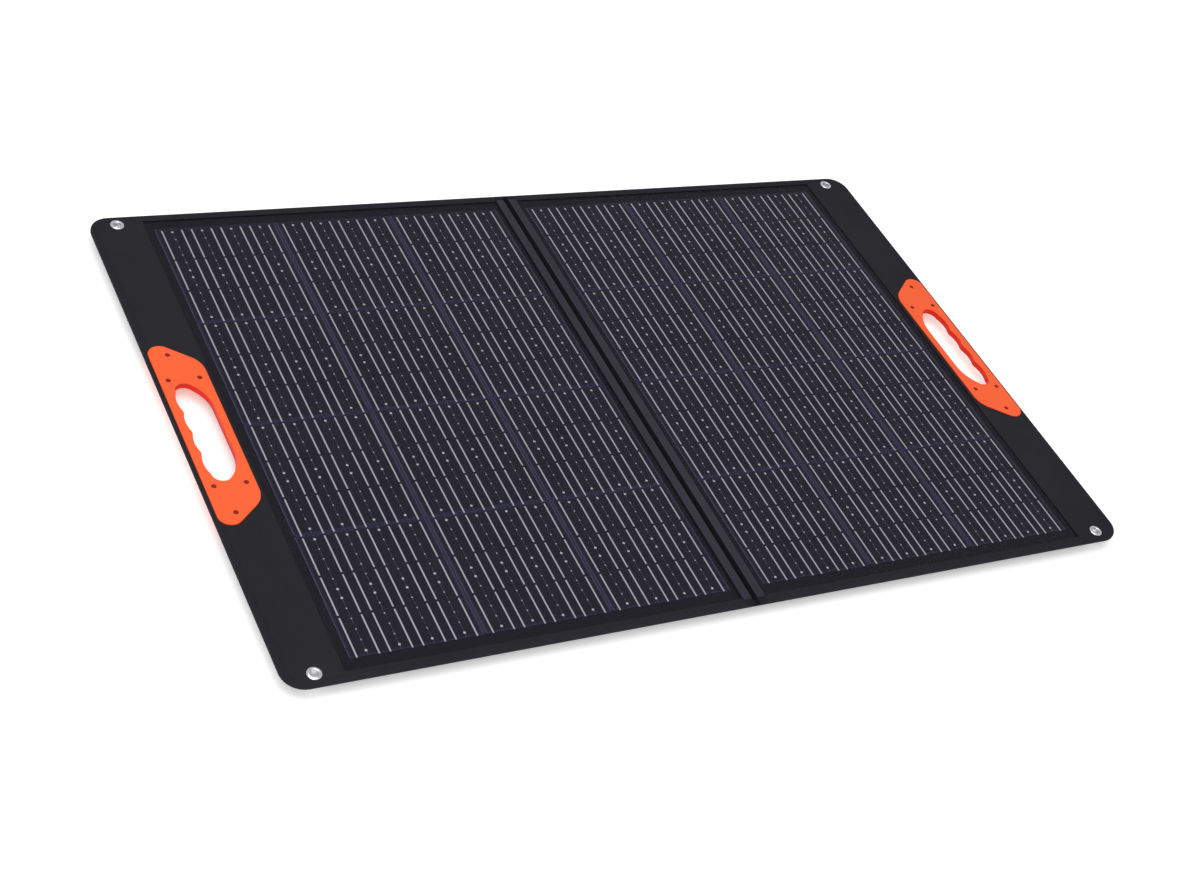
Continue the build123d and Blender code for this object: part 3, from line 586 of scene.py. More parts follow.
def walk(points, pitch, closed=False):
    """Places at equal steps along a line, each with its heading."""
    line = [Vector(p) for p in points] + ([Vector(points[0])] if closed else [])
    lengths = [(b - a).length for a, b in zip(line, line[1:])]
    steps = max(1, round(sum(lengths) / pitch))
    step = sum(lengths) / steps
    places, leg, gone = [], 0, 0.0
    for k in range(steps):
        want = (k + 0.5) * step
        while want > gone + lengths[leg] and leg < len(lengths) - 1:
            gone += lengths[leg]
            leg += 1
        heading = (line[leg + 1] - line[leg]).normalized()
        places.append((line[leg] + heading * (want - gone), heading))
    return places


STITCH_SIDES = 6
# along the thread, thickness and height, as shares of its length and radius
STITCH_PROFILE = ((-0.5, 0.35, -0.9), (-0.3, 1.0, 0.1), (0.0, 1.1, 0.45), (0.3, 1.0, 0.1), (0.5, 0.35, -0.9))


def stitch_faces(first):
    """The faces of one thread whose rings of vertices start at first."""
    faces = []
    for ring in range(len(STITCH_PROFILE) - 1):
        for k in range(STITCH_SIDES):
            a = first + ring * STITCH_SIDES + k
            b = first + ring * STITCH_SIDES + (k + 1) % STITCH_SIDES
            faces.append((a + STITCH_SIDES, b + STITCH_SIDES, b, a))
    last = first + (len(STITCH_PROFILE) - 1) * STITCH_SIDES
    faces.append(tuple(range(first, first + STITCH_SIDES)))
    faces.append(tuple(range(last, last + STITCH_SIDES))[::-1])
    return faces


def stitches(name, rows, height, material, pitch=3.4 * MM, length=2.6 * MM, radius=0.24 * MM, up=1):
    """Threads that dip into the cloth at both ends. rows are lines of points, height the cloth's."""
    vertices, faces = [], []
    for row, closed in rows:
        for place, heading in walk(row, pitch, closed):
            across = Vector((-heading.y, heading.x))
            level = float(height(np.array([place.x]), np.array([place.y]))[0])
            first = len(vertices)
            for along, thick, lift in STITCH_PROFILE:
                for k in range(STITCH_SIDES):
                    angle = 2 * math.pi * k / STITCH_SIDES
                    spot = place + heading * along * length + across * math.cos(angle) * radius * thick
                    rise = (lift + math.sin(angle) * thick) * radius * up
                    vertices.append((spot.x, spot.y, level + rise))
            faces += [face if up > 0 else face[::-1] for face in stitch_faces(first)]
    return make_object(name, vertices, faces, material, smooth_angle=60)


def lathe(name, places, profile, slot, steps=40):
    """A turned ring at each place. profile is a closed line of radius and height."""
    vertices, faces = [], []
    count = len(profile)
    for place in places:
        first = len(vertices)
        for k in range(steps):
            angle = 2 * math.pi * k / steps
            for radius, z in profile:
                x, y = place[0] + radius * math.cos(angle), place[1] + radius * math.sin(angle)
                vertices.append((x, y, z))
        for k in range(steps):
            here, there = first + k * count, first + ((k + 1) % steps) * count
            for j in range(count):
                after = (j + 1) % count
                faces.append((here + j, here + after, there + after, there + j))
    return make_object(name, vertices, faces, MATERIALS[slot], smooth_angle=50)


def blocks(boxes):
    """Vertices and faces of small bevelled-top bars: each box is its low and high corners."""
    vertices, faces = [], []
    for low, high in boxes:
        first = len(vertices)
        slope = min(0.25 * (high[0] - low[0]), 0.25 * (high[1] - low[1]), high[2] - low[2])
        for z, inset in ((low[2], 0), (high[2], slope)):
            ring = rectangle(low[0] + inset, high[0] - inset, low[1] + inset, high[1] - inset)
            vertices += [(x, y, z) for x, y in ring]
        faces += [(first + 3, first + 2, first + 1, first), (first + 4, first + 5, first + 6, first + 7)]
        for k in range(4):
            after = (k + 1) % 4
            faces.append((first + k, first + after, first + 4 + after, first + 4 + k))
    return vertices, faces


# --- the cloth of a half
FLAP_SEAM = WINDOW[1]
EDGE_FOLD = 2.4 * MM
EDGE_ROUND = 1.5 * MM
BACK_CLOTH = 0.6 * MM
HOLE_CORNERS = ((408.6, 72.8), (380.0, 41.0), (380.0, -41.0), (408.6, -72.8))  # mm, as on the right half
HOLE_RADII = [7 * MM, 0, 0, 7 * MM]
GRIP_CENTRE_Y = (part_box("right_handle_front")[0].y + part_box("right_handle_front")[1].y) / 2
HOLE_GROW = 1.8 * MM
EYELET = (HALF_LENGTH - 25.35 * MM, HALF_WIDTH - 11.25 * MM)
EYELET_HOLE = 3.9 * MM


def panel_inset(x, y):
    """How far in from the panel's rounded outer edge each place is."""
    reach_x, reach_y = abs(x) - (HALF_LENGTH - CORNER_RADIUS), abs(y) - (HALF_WIDTH - CORNER_RADIUS)
    outside = np.hypot(np.maximum(reach_x, 0), np.maximum(reach_y, 0))
    return CORNER_RADIUS - outside - np.minimum(np.maximum(reach_x, reach_y), 0)


def window_inset(x, y):
    """How far from the window's edge each place on the cloth is."""
    return np.maximum(np.maximum(abs(x) - WINDOW[1], WINDOW[0] - abs(x)), abs(y) - WINDOW[2])


def panel_line(inset):
    """The whole panel's outline, moved in."""
    corners = rectangle(-HALF_LENGTH, HALF_LENGTH, -HALF_WIDTH, HALF_WIDTH)
    return outline(corners, [CORNER_RADIUS] * 4, inset)


def window_line(side, outset):
    x_low, x_high, y_high = WINDOW[0] - outset, WINDOW[1] + outset, WINDOW[2] + outset
    return filled_in(half_rectangle(side, x_low, x_high, y_high), 8 * MM)


def eyelet_dent(x, y):
    return np.hypot(abs(x) - EYELET[0], abs(y) - EYELET[1])


def face_height(x, y):
    """The face cloth: rounded over the edge, with a hem seam and a slack, uneven lie."""
    inset = panel_inset(x, y)
    height = Z_FACE - round_drop(inset, EDGE_ROUND) + groove(inset, SEAM_INSET, SEAM_WIDTH, FACE_SEAM_DEPTH)
    height -= round_drop(window_inset(x, y), 0.4 * MM)
    height -= 0.2 * MM * np.exp(-((eyelet_dent(x, y) / (8 * MM)) ** 2))
    slack = np.clip((inset - 7 * MM) / (20 * MM), 0, 1)
    return height - 0.35 * MM * ripple(x, y, 55 * MM, 3) * slack


def face_low(x, y):
    return np.where(panel_inset(x, y) < EDGE_FOLD, Z_BACK + BACK_CLOTH, Z_FRONT)


def back_height(x, y):
    """The back cloth's outer face, seen from below."""
    inset = panel_inset(x, y)
    return Z_BACK + round_drop(inset, 0.5 * MM) - groove(inset, SEAM_INSET, SEAM_WIDTH, 0.2 * MM)


def eyelet_places(side):
    return [(side * EYELET[0], end * EYELET[1]) for end in (-1, 1)]


def flap_openings(side):
    """The hand hole's loop, a little wider than the grip's collar, and the two eyelets' loops."""
    hole = [(side * x * MM, y * MM + GRIP_CENTRE_Y) for x, y in HOLE_CORNERS]
    eyelets = [circle(place, EYELET_HOLE) for place in eyelet_places(side)]
    return [outline(hole, HOLE_RADII, -HOLE_GROW), *eyelets]


def hem_lines():
    """Lines round the panel that let its mesh follow the rounded edge and the seam."""
    insets = (0.2, 0.75, 1.5, 2.4, 2.45, 4.9, 5.25, 5.6, 5.95, 6.3)
    return [panel_line(inset * MM) for inset in insets]


def half_outline(side, x_inner):
    """One half from x_inner out, with its two outer corners rounded."""
    radii = [0, CORNER_RADIUS, CORNER_RADIUS, 0] if side > 0 else [CORNER_RADIUS, 0, 0, CORNER_RADIUS]
    return outline(half_rectangle(side, x_inner, HALF_LENGTH, HALF_WIDTH), radii)


def flap_cloth(name, side):
    """The face cloth of the outer flap, wrapped down over the edge."""
    rings = [circle(place, r * MM) for place in eyelet_places(side) for r in (6.0, 9.0)]
    lines = hem_lines() + [window_line(side, d * MM) for d in (0.15, 0.4)] + rings
    piece = slab(f"{name}_flap_cloth", [half_outline(side, FLAP_SEAM), *flap_openings(side)],
                 face_height, face_low, FACE_CLOTH, lines, grid=4 * MM)
    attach(piece, f"{name}_half")
    return piece


def rim_cloth(name, side, end):
    """The strip of face cloth along a long edge, wrapped down over the edge."""
    y_range = sorted((end * WINDOW[2], end * HALF_WIDTH))
    corners = rectangle(*sorted((side * WEB_EDGE, side * FLAP_SEAM)), *y_range)
    lines = hem_lines() + [window_line(side, d * MM) for d in (0.15, 0.4)]
    word = "far" if end > 0 else "near"
    piece = slab(f"{name}_rim_cloth_{word}", [filled_in(corners, 8 * MM)], face_height, face_low,
                 FACE_CLOTH, lines)
    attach(piece, f"{name}_half")


def back_cloth(name, side):
    piece = slab(f"{name}_back_cloth", [half_outline(side, WEB_EDGE), *flap_openings(side)],
                 level_at(Z_BACK + BACK_CLOTH), back_height, FACE_CLOTH, hem_lines(),
                 grid=18 * MM)
    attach(piece, f"{name}_half")
    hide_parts(f"{name}_back_cover")


def seam_path(side, inset, x_inner):
    """The open line of a seam round one half, from the fold's near end to its far end."""
    x_out, y_out, radius = HALF_LENGTH - inset, HALF_WIDTH - inset, CORNER_RADIUS - inset
    points = [Vector((side * x_inner, -y_out))]
    for end in (-1, 1):
        for k in range(9):
            angle = math.pi / 2 * (k / 8 if end > 0 else 1 - k / 8)
            reach = Vector((math.cos(angle), end * math.sin(angle))) * radius
            points.append(Vector((side * (x_out - radius + reach.x), end * (y_out - radius) + reach.y)))
    return points + [Vector((side * x_inner, y_out))]


def seams(name, side):
    """The hem's stitching on the face and on the back."""
    face = [(seam_path(side, SEAM_INSET, WEB_EDGE + 2 * MM), False)]
    face_row = stitches(f"{name}_hem_stitches", face, lambda x, y: face_height(x, y) + 0.1 * MM,
                        THREAD)
    back_row = stitches(f"{name}_back_stitches", face, lambda x, y: back_height(x, y) - 0.05 * MM,
                        THREAD, up=-1)
    for row in (face_row, back_row):
        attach(row, f"{name}_half")


THREAD = woven("thread", (52, 52, 57), 0.5 * MM, contrast=0.2, roughness=0.7)
for half_name, half_side in SIDES:
    flap = flap_cloth(half_name, half_side)
    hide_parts(f"{half_name}_front_cover", f"{half_name}_edge_tape")
    for rim_end in (-1, 1):
        rim_cloth(half_name, half_side, rim_end)
    back_cloth(half_name, half_side)
    seams(half_name, half_side)


# --- the fold
CREASE_HALF = 2.7 * MM
CREASE_DEPTH = 2.6 * MM
STRIP_INNER = 2.6 * MM
STRIP_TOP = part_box("right_hinge_strip")[1].z
STRIP_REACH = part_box("right_hinge_strip")[1].y
STRIP_SEAMS = (3.6, 10.4)  # mm from the fold
STRIP_ROWS = (2.75, 2.9, 3.3, 3.6, 4.0, 5.0, 6.2, 7.4, 8.6, 9.6, 10.0, 10.4, 10.8, 11.0, 11.05, 11.7, 11.9)
SPINE_ROWS = (0.25, 0.6, 1.1, 1.7, 2.3, 3.0, 3.8, 4.7, 5.7, 6.8, 8.0, 9.4)
SPINE_ENDS = (0.2, 0.75, 1.5, 3.0, 4.9, 5.6, 6.3, 7.5)


def crease(x, y, half, depth, end_fade):
    """A furrow along the fold that runs out towards both long edges."""
    across = np.clip(1 - abs(x) / half, 0, 1)
    ends = np.clip((HALF_WIDTH - end_fade - abs(y)) / (4 * MM), 0, 1)
    return depth * across ** 0.7 * ends


def spine_top(x, y):
    inset = HALF_WIDTH - abs(y)
    hem = groove(inset, SEAM_INSET, SEAM_WIDTH, FACE_SEAM_DEPTH)
    furrow = crease(x, y, CREASE_HALF, CREASE_DEPTH, 3 * MM)
    return Z_FACE - round_drop(inset, EDGE_ROUND) + hem - furrow


def spine_low(x, y):
    inset = HALF_WIDTH - abs(y)
    return Z_BACK + round_drop(inset, 0.5 * MM) + crease(x, y, 3 * MM, 0.7 * MM, 2 * MM)


def fold_line(x, y):
    """A thin rectangle round the fold, whose sides give the mesh its rows."""
    return filled_in(rectangle(-x, x, -y, y), 6 * MM)


def fold_spine():
    """The flexible web between the two halves, creased along its middle on both faces."""
    rows = [fold_line(x * MM, HALF_WIDTH) for x in SPINE_ROWS]
    ends = [fold_line(WEB_EDGE, HALF_WIDTH - d * MM) for d in SPINE_ENDS]
    piece = slab("fold_spine", [fold_line(WEB_EDGE, HALF_WIDTH)], spine_top, spine_low,
                 MATERIALS["hinge_web"], rows + ends)
    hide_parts("left_hinge_web", "right_hinge_web")
    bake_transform(piece)


def strip_top(x, y):
    """A hinge strip: rounded edges and a stitched furrow inside each."""
    from_fold = abs(x)
    inset = np.minimum(np.minimum(from_fold - STRIP_INNER, WINDOW[0] - from_fold), STRIP_REACH - abs(y))
    seam = sum(groove(from_fold, x * MM, 0.9 * MM, 0.1 * MM) for x in STRIP_SEAMS)
    return STRIP_TOP - round_drop(inset, 0.3 * MM) + seam


def strip_low(x, y):
    turned_down = (abs(x) > WEB_EDGE + 0.02 * MM) & (abs(y) < WINDOW[2] - 0.1 * MM)
    return np.where(turned_down, Z_FRONT, Z_FACE - 0.05 * MM)


def strip_line(side, x_far):
    return filled_in(half_rectangle(side, STRIP_INNER, x_far, STRIP_REACH), 6 * MM)


def hinge_strip(name, side):
    """The webbing strip sewn down beside the crease, with a row of stitches along each edge."""
    piece = slab(f"{name}_hinge_tape", [strip_line(side, WINDOW[0])], strip_top, strip_low,
                 MATERIALS["fold_strip"], [strip_line(side, x * MM) for x in STRIP_ROWS])
    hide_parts(f"{name}_hinge_strip")
    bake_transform(piece)
    sewn = STRIP_REACH - 3 * MM
    lines = [([Vector((side * x * MM, -sewn)), Vector((side * x * MM, sewn))], False) for x in STRIP_SEAMS]
    row = stitches(f"{name}_hinge_stitches", lines, strip_top, STRIP_THREAD, radius=0.2 * MM)
    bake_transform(row)


STRIP_THREAD = woven("strip_thread", (84, 82, 90), 0.5 * MM, contrast=0.2, roughness=0.7)
fold_spine()
for half_name, half_side in SIDES:
    hinge_strip(half_name, half_side)


# --- ribbons on the cells
CELLS_LOW, CELLS_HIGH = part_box("right_cells")
COLUMNS, BLOCKS, ROWS = 3, 4, 3
ROW_PITCH = 41.4 * MM
CELL_LENGTH = 41.0 * MM
CELL_GAP = ROW_PITCH - CELL_LENGTH
BLOCK_GAP = BLOCK_PITCH - (ROWS - 1) * ROW_PITCH - CELL_LENGTH
RIBBON_PITCH = 9.24 * MM
RIBBONS = 12
RIBBON_WIDTH = 1.35 * MM
RIBBON_BREAK = 2.4 * MM
RIBBON_HEIGHT = 0.09 * MM
FINE_HALF_WIDTH = 0.03 * MM
FINE_HEIGHT = 0.04 * MM
DOT_PITCH = 10.5 * MM
DOT_START = 4.6 * MM
DOTS = 6
DOTTED_EVERY = 3
END_DOT, INNER_DOT = 1.15 * MM, 0.65 * MM  # radii
DOT_SIDES = 10
DOT_TAPER = 0.8


def spread(count, pitch):
    """Even offsets of that pitch, centred on zero."""
    return [(k - (count - 1) / 2) * pitch for k in range(count)]


def bar(x, half_width, y_low, y_high, height):
    return (x - half_width, y_low, RIBBON_LOW), (x + half_width, y_high, RIBBON_LOW + height)


def wide_bars(x, middle, first_gap):
    """A wide ribbon over one block: a bar on each cell, reaching back over the gap before it."""
    bars = []
    for offset, gap in zip(spread(ROWS, ROW_PITCH), (first_gap, *[CELL_GAP] * (ROWS - 1))):
        y_low = middle + offset - CELL_LENGTH / 2 - gap
        y_high = middle + offset + CELL_LENGTH / 2 - RIBBON_BREAK
        bars.append(bar(x, RIBBON_WIDTH / 2, y_low, y_high, RIBBON_HEIGHT))
    return bars


def block_dots(x, middle):
    """The soldered dots of a fine ribbon over one block, each a place and a radius."""
    dots = []
    for dot in range(DOTS):
        radius = END_DOT if dot in (0, DOTS - 1) else INNER_DOT
        dots += [((x, middle + end * (DOT_START + dot * DOT_PITCH)), radius) for end in (-1, 1)]
    return dots


def add_dot(vertices, faces, place, radius):
    """Adds a low round button with sloping sides."""
    first = len(vertices)
    for z, scale in ((RIBBON_LOW, 1.0), (RIBBON_LOW + RIBBON_HEIGHT, DOT_TAPER)):
        vertices += [(spot.x, spot.y, z) for spot in circle(place, radius * scale, DOT_SIDES)]
    top = first + DOT_SIDES
    faces.append(tuple(range(top, top + DOT_SIDES)))
    faces.append(tuple(range(first, top))[::-1])
    for k in range(DOT_SIDES):
        after = (k + 1) % DOT_SIDES
        faces.append((first + k, first + after, top + after, top + k))


def ribbon_lines(name, side):
    """Collector ribbons, broken at each cell, and the soldered dots of every third line."""
    centre = side * (CELLS_LOW.x + CELLS_HIGH.x) / 2
    block_reach = (ROWS - 1) / 2 * ROW_PITCH + CELL_LENGTH / 2
    wide, fine, dots = [], [], []
    for column in spread(COLUMNS, COLUMN_PITCH):
        for line, offset in enumerate(spread(RIBBONS, RIBBON_PITCH)):
            x = centre + column + offset
            for block, middle in enumerate(spread(BLOCKS, BLOCK_PITCH)):
                if line % DOTTED_EVERY == 1:
                    y_low, y_high = middle - block_reach, middle + block_reach
                    fine.append(bar(x, FINE_HALF_WIDTH, y_low, y_high, FINE_HEIGHT))
                    dots += block_dots(x, middle)
                else:
                    wide += wide_bars(x, middle, BLOCK_GAP if block > 0 else CELL_GAP)
    vertices, faces = blocks(wide + fine)
    for place, radius in dots:
        add_dot(vertices, faces, place, radius)
    piece = make_object(f"{name}_ribbon_lines", vertices, faces, MATERIALS["ribbon"],
                        smooth_angle=20)
    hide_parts(f"{name}_ribbons")
    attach(piece, f"{name}_half")


for half_name, half_side in SIDES:
    ribbon_lines(half_name, half_side)


# --- eyelets
def eyelet(name, side):
    """A rolled flange on the face, its barrel, and the clenched washer on the back."""
    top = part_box(f"{name}_grommets")[1].z
    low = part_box(f"{name}_grommet_washers")[0].z
    flange, bore = 6.2 * MM, 3.1 * MM
    barrel = bore + 0.6 * MM
    under_cloth = Z_FACE - 0.2 * MM
    lip = [(bore + out * MM, top - down * MM)
           for out, down in ((0, 0.9), (0.12, 0.5), (0.4, 0.18), (0.9, 0.02), (1.5, 0))]
    skirt = [(flange - back * MM, top - down * MM) for back, down in ((1.1, 0.14), (0.5, 0.36), (0.12, 0.6))]
    foot = [(flange, Z_FACE - 0.12 * MM), (flange - 0.4 * MM, under_cloth), (barrel, under_cloth),
            (barrel, low + 0.5 * MM)]
    curl = [(bore + out * MM, low + up * MM) for out, up in ((0.1, 0.25), (0.6, 0), (1.3, 0.1), (1.5, 0.35))]
    plate = [(flange - 0.8 * MM, low + 0.3 * MM), (flange - 0.1 * MM, low + 0.45 * MM), (flange, Z_BACK),
             (barrel, Z_BACK)]
    front_line = [(bore, low + 0.5 * MM), *lip, *skirt, *foot]
    back_line = [(bore - 0.02 * MM, Z_BACK - 0.3 * MM), *curl, *plate]
    front = lathe(f"{name}_eyelets", eyelet_places(side), front_line, "eyelet")
    back = lathe(f"{name}_eyelet_washers", eyelet_places(side), back_line[::-1], "eyelet")
    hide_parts(f"{name}_grommets")
    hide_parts(f"{name}_grommet_washers")
    for ring in (front, back):
        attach(ring, f"{name}_half")


for half_name, half_side in SIDES:
    eyelet(half_name, half_side)


# --- stands on the back
STAND_RADIUS = 12.0 * MM
STAND_SEAM = 5.0 * MM


def stand_sleeve(name):
    """The cloth sleeve drawn tight over the stand's board, seamed all round."""
    low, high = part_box(f"{name}_stand_cover")
    corners = footprint(low, high)
    radii = [STAND_RADIUS] * 4
    rim = [outline(corners, radii)]

    def under(x, y):
        inset = edge_distance(x, y, rim)
        swell = 0.35 * MM * np.clip((inset - STAND_SEAM) / (14 * MM), 0, 1)
        dip = -groove(inset, STAND_SEAM, 1.6 * MM, 0.35 * MM)
        slack = 0.25 * MM * ripple(x, y, 60 * MM, 11) * np.clip((inset - STAND_SEAM) / (10 * MM), 0, 1)
        return low.z + 0.6 * MM + round_drop(inset, 1.7 * MM) - swell + dip - slack

    def over(x, y):
        return high.z - round_drop(edge_distance(x, y, rim), 1.2 * MM)

    insets = (0.15, 0.6, 1.7, 3.6, 4.3, 5.0, 5.7, 6.4, 9.0, 14.0)
    lines = [outline(corners, radii, inset * MM) for inset in insets]
    piece = slab(f"{name}_stand_sleeve", rim, over, under, FACE_CLOTH, lines, grid=9 * MM)
    row = [(outline(corners, radii, STAND_SEAM), True)]
    thread = stitches(f"{name}_stand_stitches", row, lambda x, y: under(x, y) - 0.15 * MM, THREAD,
                      up=-1)
    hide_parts(f"{name}_stand_cover", f"{name}_stand_board")
    for part in (piece, thread):
        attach(part, f"{name}_stand")


def stand_hinge(name):
    """The tape that the stand hangs from: sewn to the back cloth, with close rows of mesh along the stand's
    turning line.
    """
    low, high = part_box(f"{name}_stand_hinge_tape")
    joint = next(j for j in frame["joints"] if j["name"] == f"{name}_stand_swing")
    turn_y = joint["pos_m"][1]
    corners = footprint(low, high)
    rows = [filled_in(rectangle(low.x, high.x, turn_y - d * MM, turn_y + d * MM), 10 * MM)
            for d in (0.4, 0.8, 1.2, 1.6, 2.0, 2.6, 3.5)]
    rim = [filled_in(corners, 10 * MM)]
    piece = slab(f"{name}_stand_hinge", rim,
                 lambda x, y: high.z - round_drop(edge_distance(x, y, rim), 0.2 * MM),
                 lambda x, y: low.z + round_drop(edge_distance(x, y, rim), 0.25 * MM),
                 MATERIALS["webbing"], rows + [outline(corners, [0] * 4, 0.25 * MM)])
    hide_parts(f"{name}_stand_hinge_tape")
    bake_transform(piece)
    sewn = rectangle(low.x + 4 * MM, high.x - 4 * MM, turn_y + 6 * MM, high.y - 4 * MM)
    thread = stitches(f"{name}_stand_hinge_stitches", [(filled_in(sewn, 20 * MM), True)],
                      level_at(low.z), STRIP_THREAD, up=-1)
    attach(thread, f"{name}_half")


def webbing_tab(name, node, body, radius, edge=0.3 * MM):
    """A flat webbing tab with soft edges, a rounded end and a sewn box."""
    low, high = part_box(node)
    corners = footprint(low, high)
    radii = [radius] * 4
    rim = [outline(corners, radii, spacing=3 * MM)]
    piece = slab(name, rim, lambda x, y: high.z - round_drop(edge_distance(x, y, rim), edge),
                 lambda x, y: low.z + round_drop(edge_distance(x, y, rim), edge), MATERIALS["webbing"],
                 [outline(corners, radii, inset, 3 * MM) for inset in (0.25 * edge, edge)])
    inner = rectangle(low.x + 1.6 * MM, high.x - 1.6 * MM, low.y + 1.6 * MM, high.y - 1.6 * MM)
    rows = [(filled_in(inner, 20 * MM), True)]
    if high.x - low.x > 20 * MM and high.y - low.y > 20 * MM:
        rows += [([Vector(inner[k]), Vector(inner[k + 2])], False) for k in (0, 1)]
    thread = stitches(f"{name}_stitches", rows, level_at(low.z), STRIP_THREAD,
                      up=-1, pitch=2.6 * MM, length=1.9 * MM, radius=0.2 * MM)
    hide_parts(node)
    for part in (piece, thread):
        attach(part, body)


for half_name, _ in SIDES:
    stand_sleeve(half_name)
    stand_hinge(half_name)
    webbing_tab(f"{half_name}_pull_tab", f"{half_name}_stand_tab", f"{half_name}_stand", 2.5 * MM)
webbing_tab("zip_pull_tab", "zip_pull", "zip_runner", 1.5 * MM)


# --- the zipped pocket
POCKET_LOW, POCKET_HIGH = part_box("pocket")
POCKET_CORNERS = footprint(POCKET_LOW, POCKET_HIGH)
POCKET_RADII = [10.0 * MM] * 4
POCKET_RIM = [outline(POCKET_CORNERS, POCKET_RADII)]
ZIP_LOW, ZIP_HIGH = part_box("zip_tape")
BAG_END = ZIP_LOW.y - 9 * MM
BAG_ROUND = 15.0 * MM
BAND_ROUND = 5.0 * MM
BINDING_LOW = Z_BACK - 0.8 * MM


def pocket_line(inset):
    """The pocket's outline moved in by a number of millimetres."""
    return outline(POCKET_CORNERS, POCKET_RADII, inset * MM)


def rounded_share(inset, radius):
    """1 at an edge, falling to 0 at the radius along a quarter circle."""
    return 1 - np.sqrt(1 - (1 - np.clip(inset / radius, 0, 1)) ** 2)


def pocket_under(x, y):
    """The pocket's skin seen from below: a slack bag that narrows to a flat band by the zip."""
    inset = edge_distance(x, y, POCKET_RIM)
    band = np.clip((y - (BAG_END - 8 * MM)) / (12 * MM), 0, 1)
    band = band * band * (3 - 2 * band)
    z_bag = 1.0 * MM - 0.9 * MM * ripple(x, y, 70 * MM, 5) + 0.8 * MM * ripple(x, y, 24 * MM, 8)
    z_band = ZIP_HIGH.z + 0.02 * MM
    full = Z_BACK - 0.5 * MM
    bag = z_bag + (full - z_bag) * rounded_share(inset, BAG_ROUND)
    flat_band = z_band + (full - z_band) * rounded_share(inset, BAND_ROUND)
    pucker = 0.25 * MM * np.sin(x * 2 * math.pi / (9 * MM)) * np.exp(-(((y - BAG_END) / (5 * MM)) ** 2))
    return np.maximum(bag * (1 - band) + flat_band * band + pucker * (1 - band), 0.1 * MM)


def pocket_bag():
    lines = [pocket_line(inset) for inset in (0.4, 1.2, 2.4, 4.0, 5.0, 7.0, 9.5, 12.0, 15.0)]
    piece = slab("pocket_bag", POCKET_RIM, lambda x, y: np.minimum(pocket_under(x, y) + 0.8 * MM, Z_BACK),
                 pocket_under, MATERIALS["pocket_fabric"], lines, grid=4 * MM)
    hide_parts("pocket")
    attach(piece, "right_half")


def pocket_binding():
    """The webbing sewn round the pocket's edge."""
    loops = [pocket_line(-5), pocket_line(0.3)]

    def under(x, y):
        return BINDING_LOW + round_drop(edge_distance(x, y, loops), 0.4 * MM)

    binding = slab("pocket_binding", loops, level_at(Z_BACK + 0.05 * MM), under, MATERIALS["webbing"],
                   [pocket_line(d) for d in (-4.9, -4.6, -2.5, -0.1, 0.1)])
    thread = stitches("pocket_stitches", [(pocket_line(-2.5), True)], level_at(BINDING_LOW),
                      STRIP_THREAD, up=-1)
    for part in (binding, thread):
        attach(part, "right_half")


def zip_teeth():
    """Two rows of moulded teeth that mesh along the middle, with a stop at each end."""
    low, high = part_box("zip_chain")
    tape_low = ZIP_LOW.z
    middle = (low.y + high.y) / 2
    stop, pitch = 3.0 * MM, 1.6 * MM
    boxes = [((x, low.y, low.z), (x + stop, high.y, tape_low)) for x in (low.x, high.x - stop)]
    count = int((high.x - low.x - 2 * stop) / pitch)
    for k in range(count):
        x = low.x + stop + (k + 0.2) * pitch
        side = 1 if k % 2 else -1
        y_range = sorted((middle - side * 0.6 * MM, middle + side * 1.95 * MM))
        boxes.append(((x, y_range[0], tape_low - 0.95 * MM), (x + 0.75 * pitch, y_range[1], tape_low)))
    flipped = [((a[0], a[1], -b[2]), (b[0], b[1], -a[2])) for a, b in boxes]
    vertices, faces = blocks(flipped)
    vertices = [(x, y, -z) for x, y, z in vertices]
    faces = [face[::-1] for face in faces]
    piece = make_object("zip_teeth", vertices, faces, MATERIALS["zip_plastic"],
                        smooth_angle=20)
    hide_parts("zip_chain")
    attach(piece, "right_half")


def zip_stitches():
    rows = [([Vector((ZIP_LOW.x + 3 * MM, y)), Vector((ZIP_HIGH.x - 3 * MM, y))], False)
            for y in (ZIP_LOW.y + 2.5 * MM, ZIP_HIGH.y - 2.5 * MM)]
    thread = stitches("zip_stitches", rows, level_at(ZIP_LOW.z), STRIP_THREAD, up=-1)
    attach(thread, "right_half")


pocket_bag()
pocket_binding()
zip_teeth()
zip_stitches()


# --- floor, lights and camera
FLOOR_REACH = 40
FLOOR_DROP = 0.4 * MM
FLOOR_GLOW = 0.3
WORLD_STRENGTH = 0.62
AIM = Vector((0, 0, 0))
AZIMUTH, ELEVATION, ROLL = (math.radians(angle) for angle in (-40.92, 40.78, 22.14))
CAMERA_TARGET = Vector((-0.06467, -0.07050, 0.0156))
CAMERA_DISTANCE = 1.7018
LENS, SENSOR = 59.085, 36


def soft_light(name, place, size, power):
    """A white area light that points at the panel's middle."""
    data = bpy.data.lights.new(name, "AREA")
    data.shape = "RECTANGLE"
    data.size, data.size_y = size
    data.energy = power
    light = bpy.data.objects.new(name, data)
    scene.collection.objects.link(light)
    light.location = place
    light.rotation_mode = "QUATERNION"
    light.rotation_quaternion = (AIM - Vector(place)).to_track_quat("-Z", "Y")


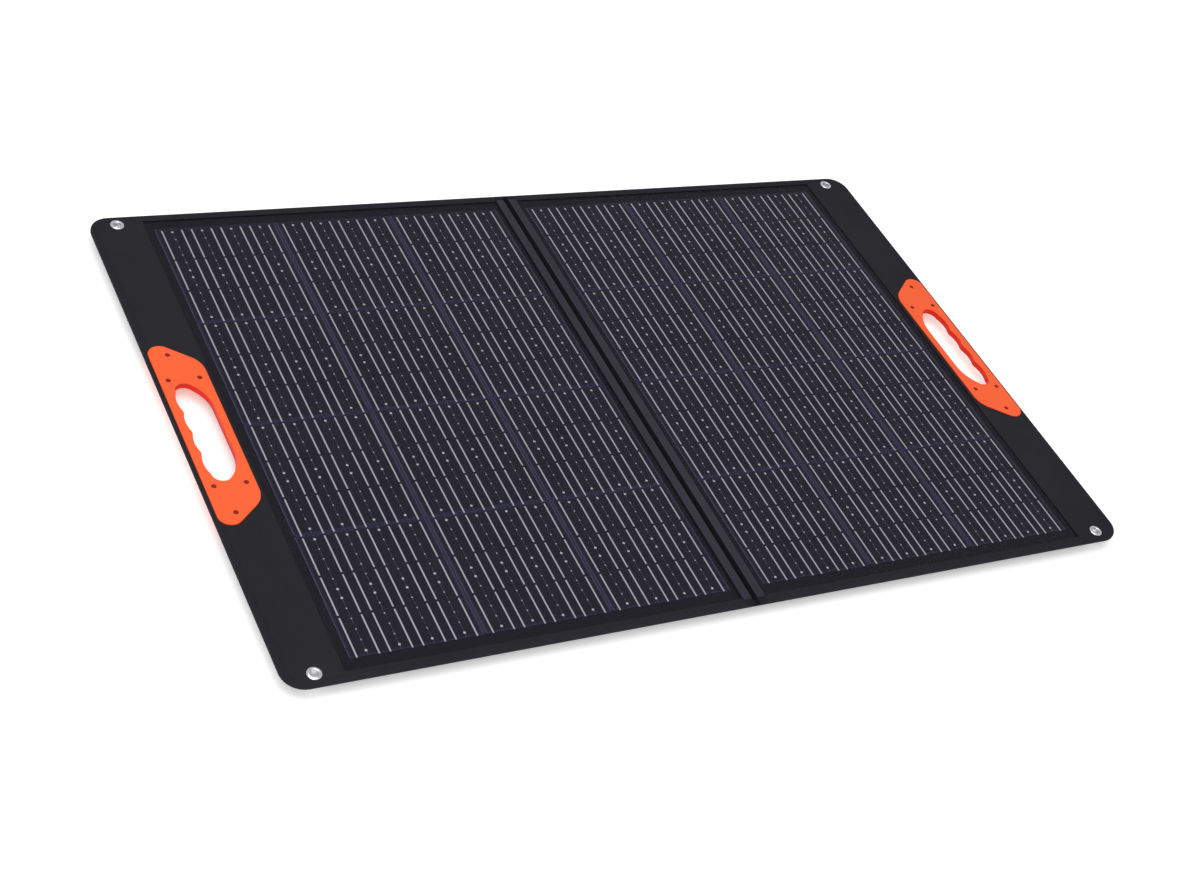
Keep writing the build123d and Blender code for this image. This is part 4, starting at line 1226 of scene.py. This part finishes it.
def pale_floor():
    """A very large pale floor, a hair under the panel, that gives off a little light."""
    material, tree, shader = new_material("floor")
    cloud = noise(tree, position(tree)[3], 2.0)
    colour = mix_colour(tree, cloud, linear((240, 240, 240)), linear((246, 246, 246)))
    surface(tree, shader, colour, 0.9, 0.1)
    shader.inputs["Emission Color"].default_value = (1, 1, 1, 1)
    shader.inputs["Emission Strength"].default_value = FLOOR_GLOW
    mesh = bpy.data.meshes.new("floor")
    corners = rectangle(-FLOOR_REACH, FLOOR_REACH, -FLOOR_REACH, FLOOR_REACH)
    mesh.from_pydata([(x, y, 0) for x, y in corners], [], [(0, 1, 2, 3)])
    mesh.materials.append(material)
    floor = bpy.data.objects.new("floor", mesh)
    floor.location.z = -FLOOR_DROP
    scene.collection.objects.link(floor)


def world_light():
    world = bpy.data.worlds.new("studio")
    world.use_nodes = True
    background = world.node_tree.nodes["Background"]
    background.inputs["Color"].default_value = (1, 1, 1, 1)
    background.inputs["Strength"].default_value = WORLD_STRENGTH
    scene.world = world


def camera():
    """The camera looks down on the near left corner, tilted a little to one side."""
    level = math.cos(ELEVATION)
    back = Vector((math.sin(AZIMUTH) * level, -math.cos(AZIMUTH) * level, math.sin(ELEVATION)))
    forward = -back
    level_right = forward.cross(Vector((0, 0, 1))).normalized()
    level_up = level_right.cross(forward)
    right = math.cos(ROLL) * level_right + math.sin(ROLL) * level_up
    up = -math.sin(ROLL) * level_right + math.cos(ROLL) * level_up
    turned = Matrix((right, up, back)).transposed().to_4x4()
    data = bpy.data.cameras.new("camera")
    data.lens, data.sensor_width = LENS, SENSOR
    data.clip_start, data.clip_end = 0.05, 100
    eye = bpy.data.objects.new("camera", data)
    scene.collection.objects.link(eye)
    eye.matrix_world = Matrix.Translation(CAMERA_TARGET + back * CAMERA_DISTANCE) @ turned
    scene.camera = eye


scene.view_settings.view_transform = "Standard"
pale_floor()
world_light()
soft_light("overhead", place=(-0.5, -0.3, 2.2), size=(2.4, 2.4), power=34)
soft_light("behind_camera", place=(-1.8, -1.8, 1.6), size=(1.6, 1.2), power=14)
camera()
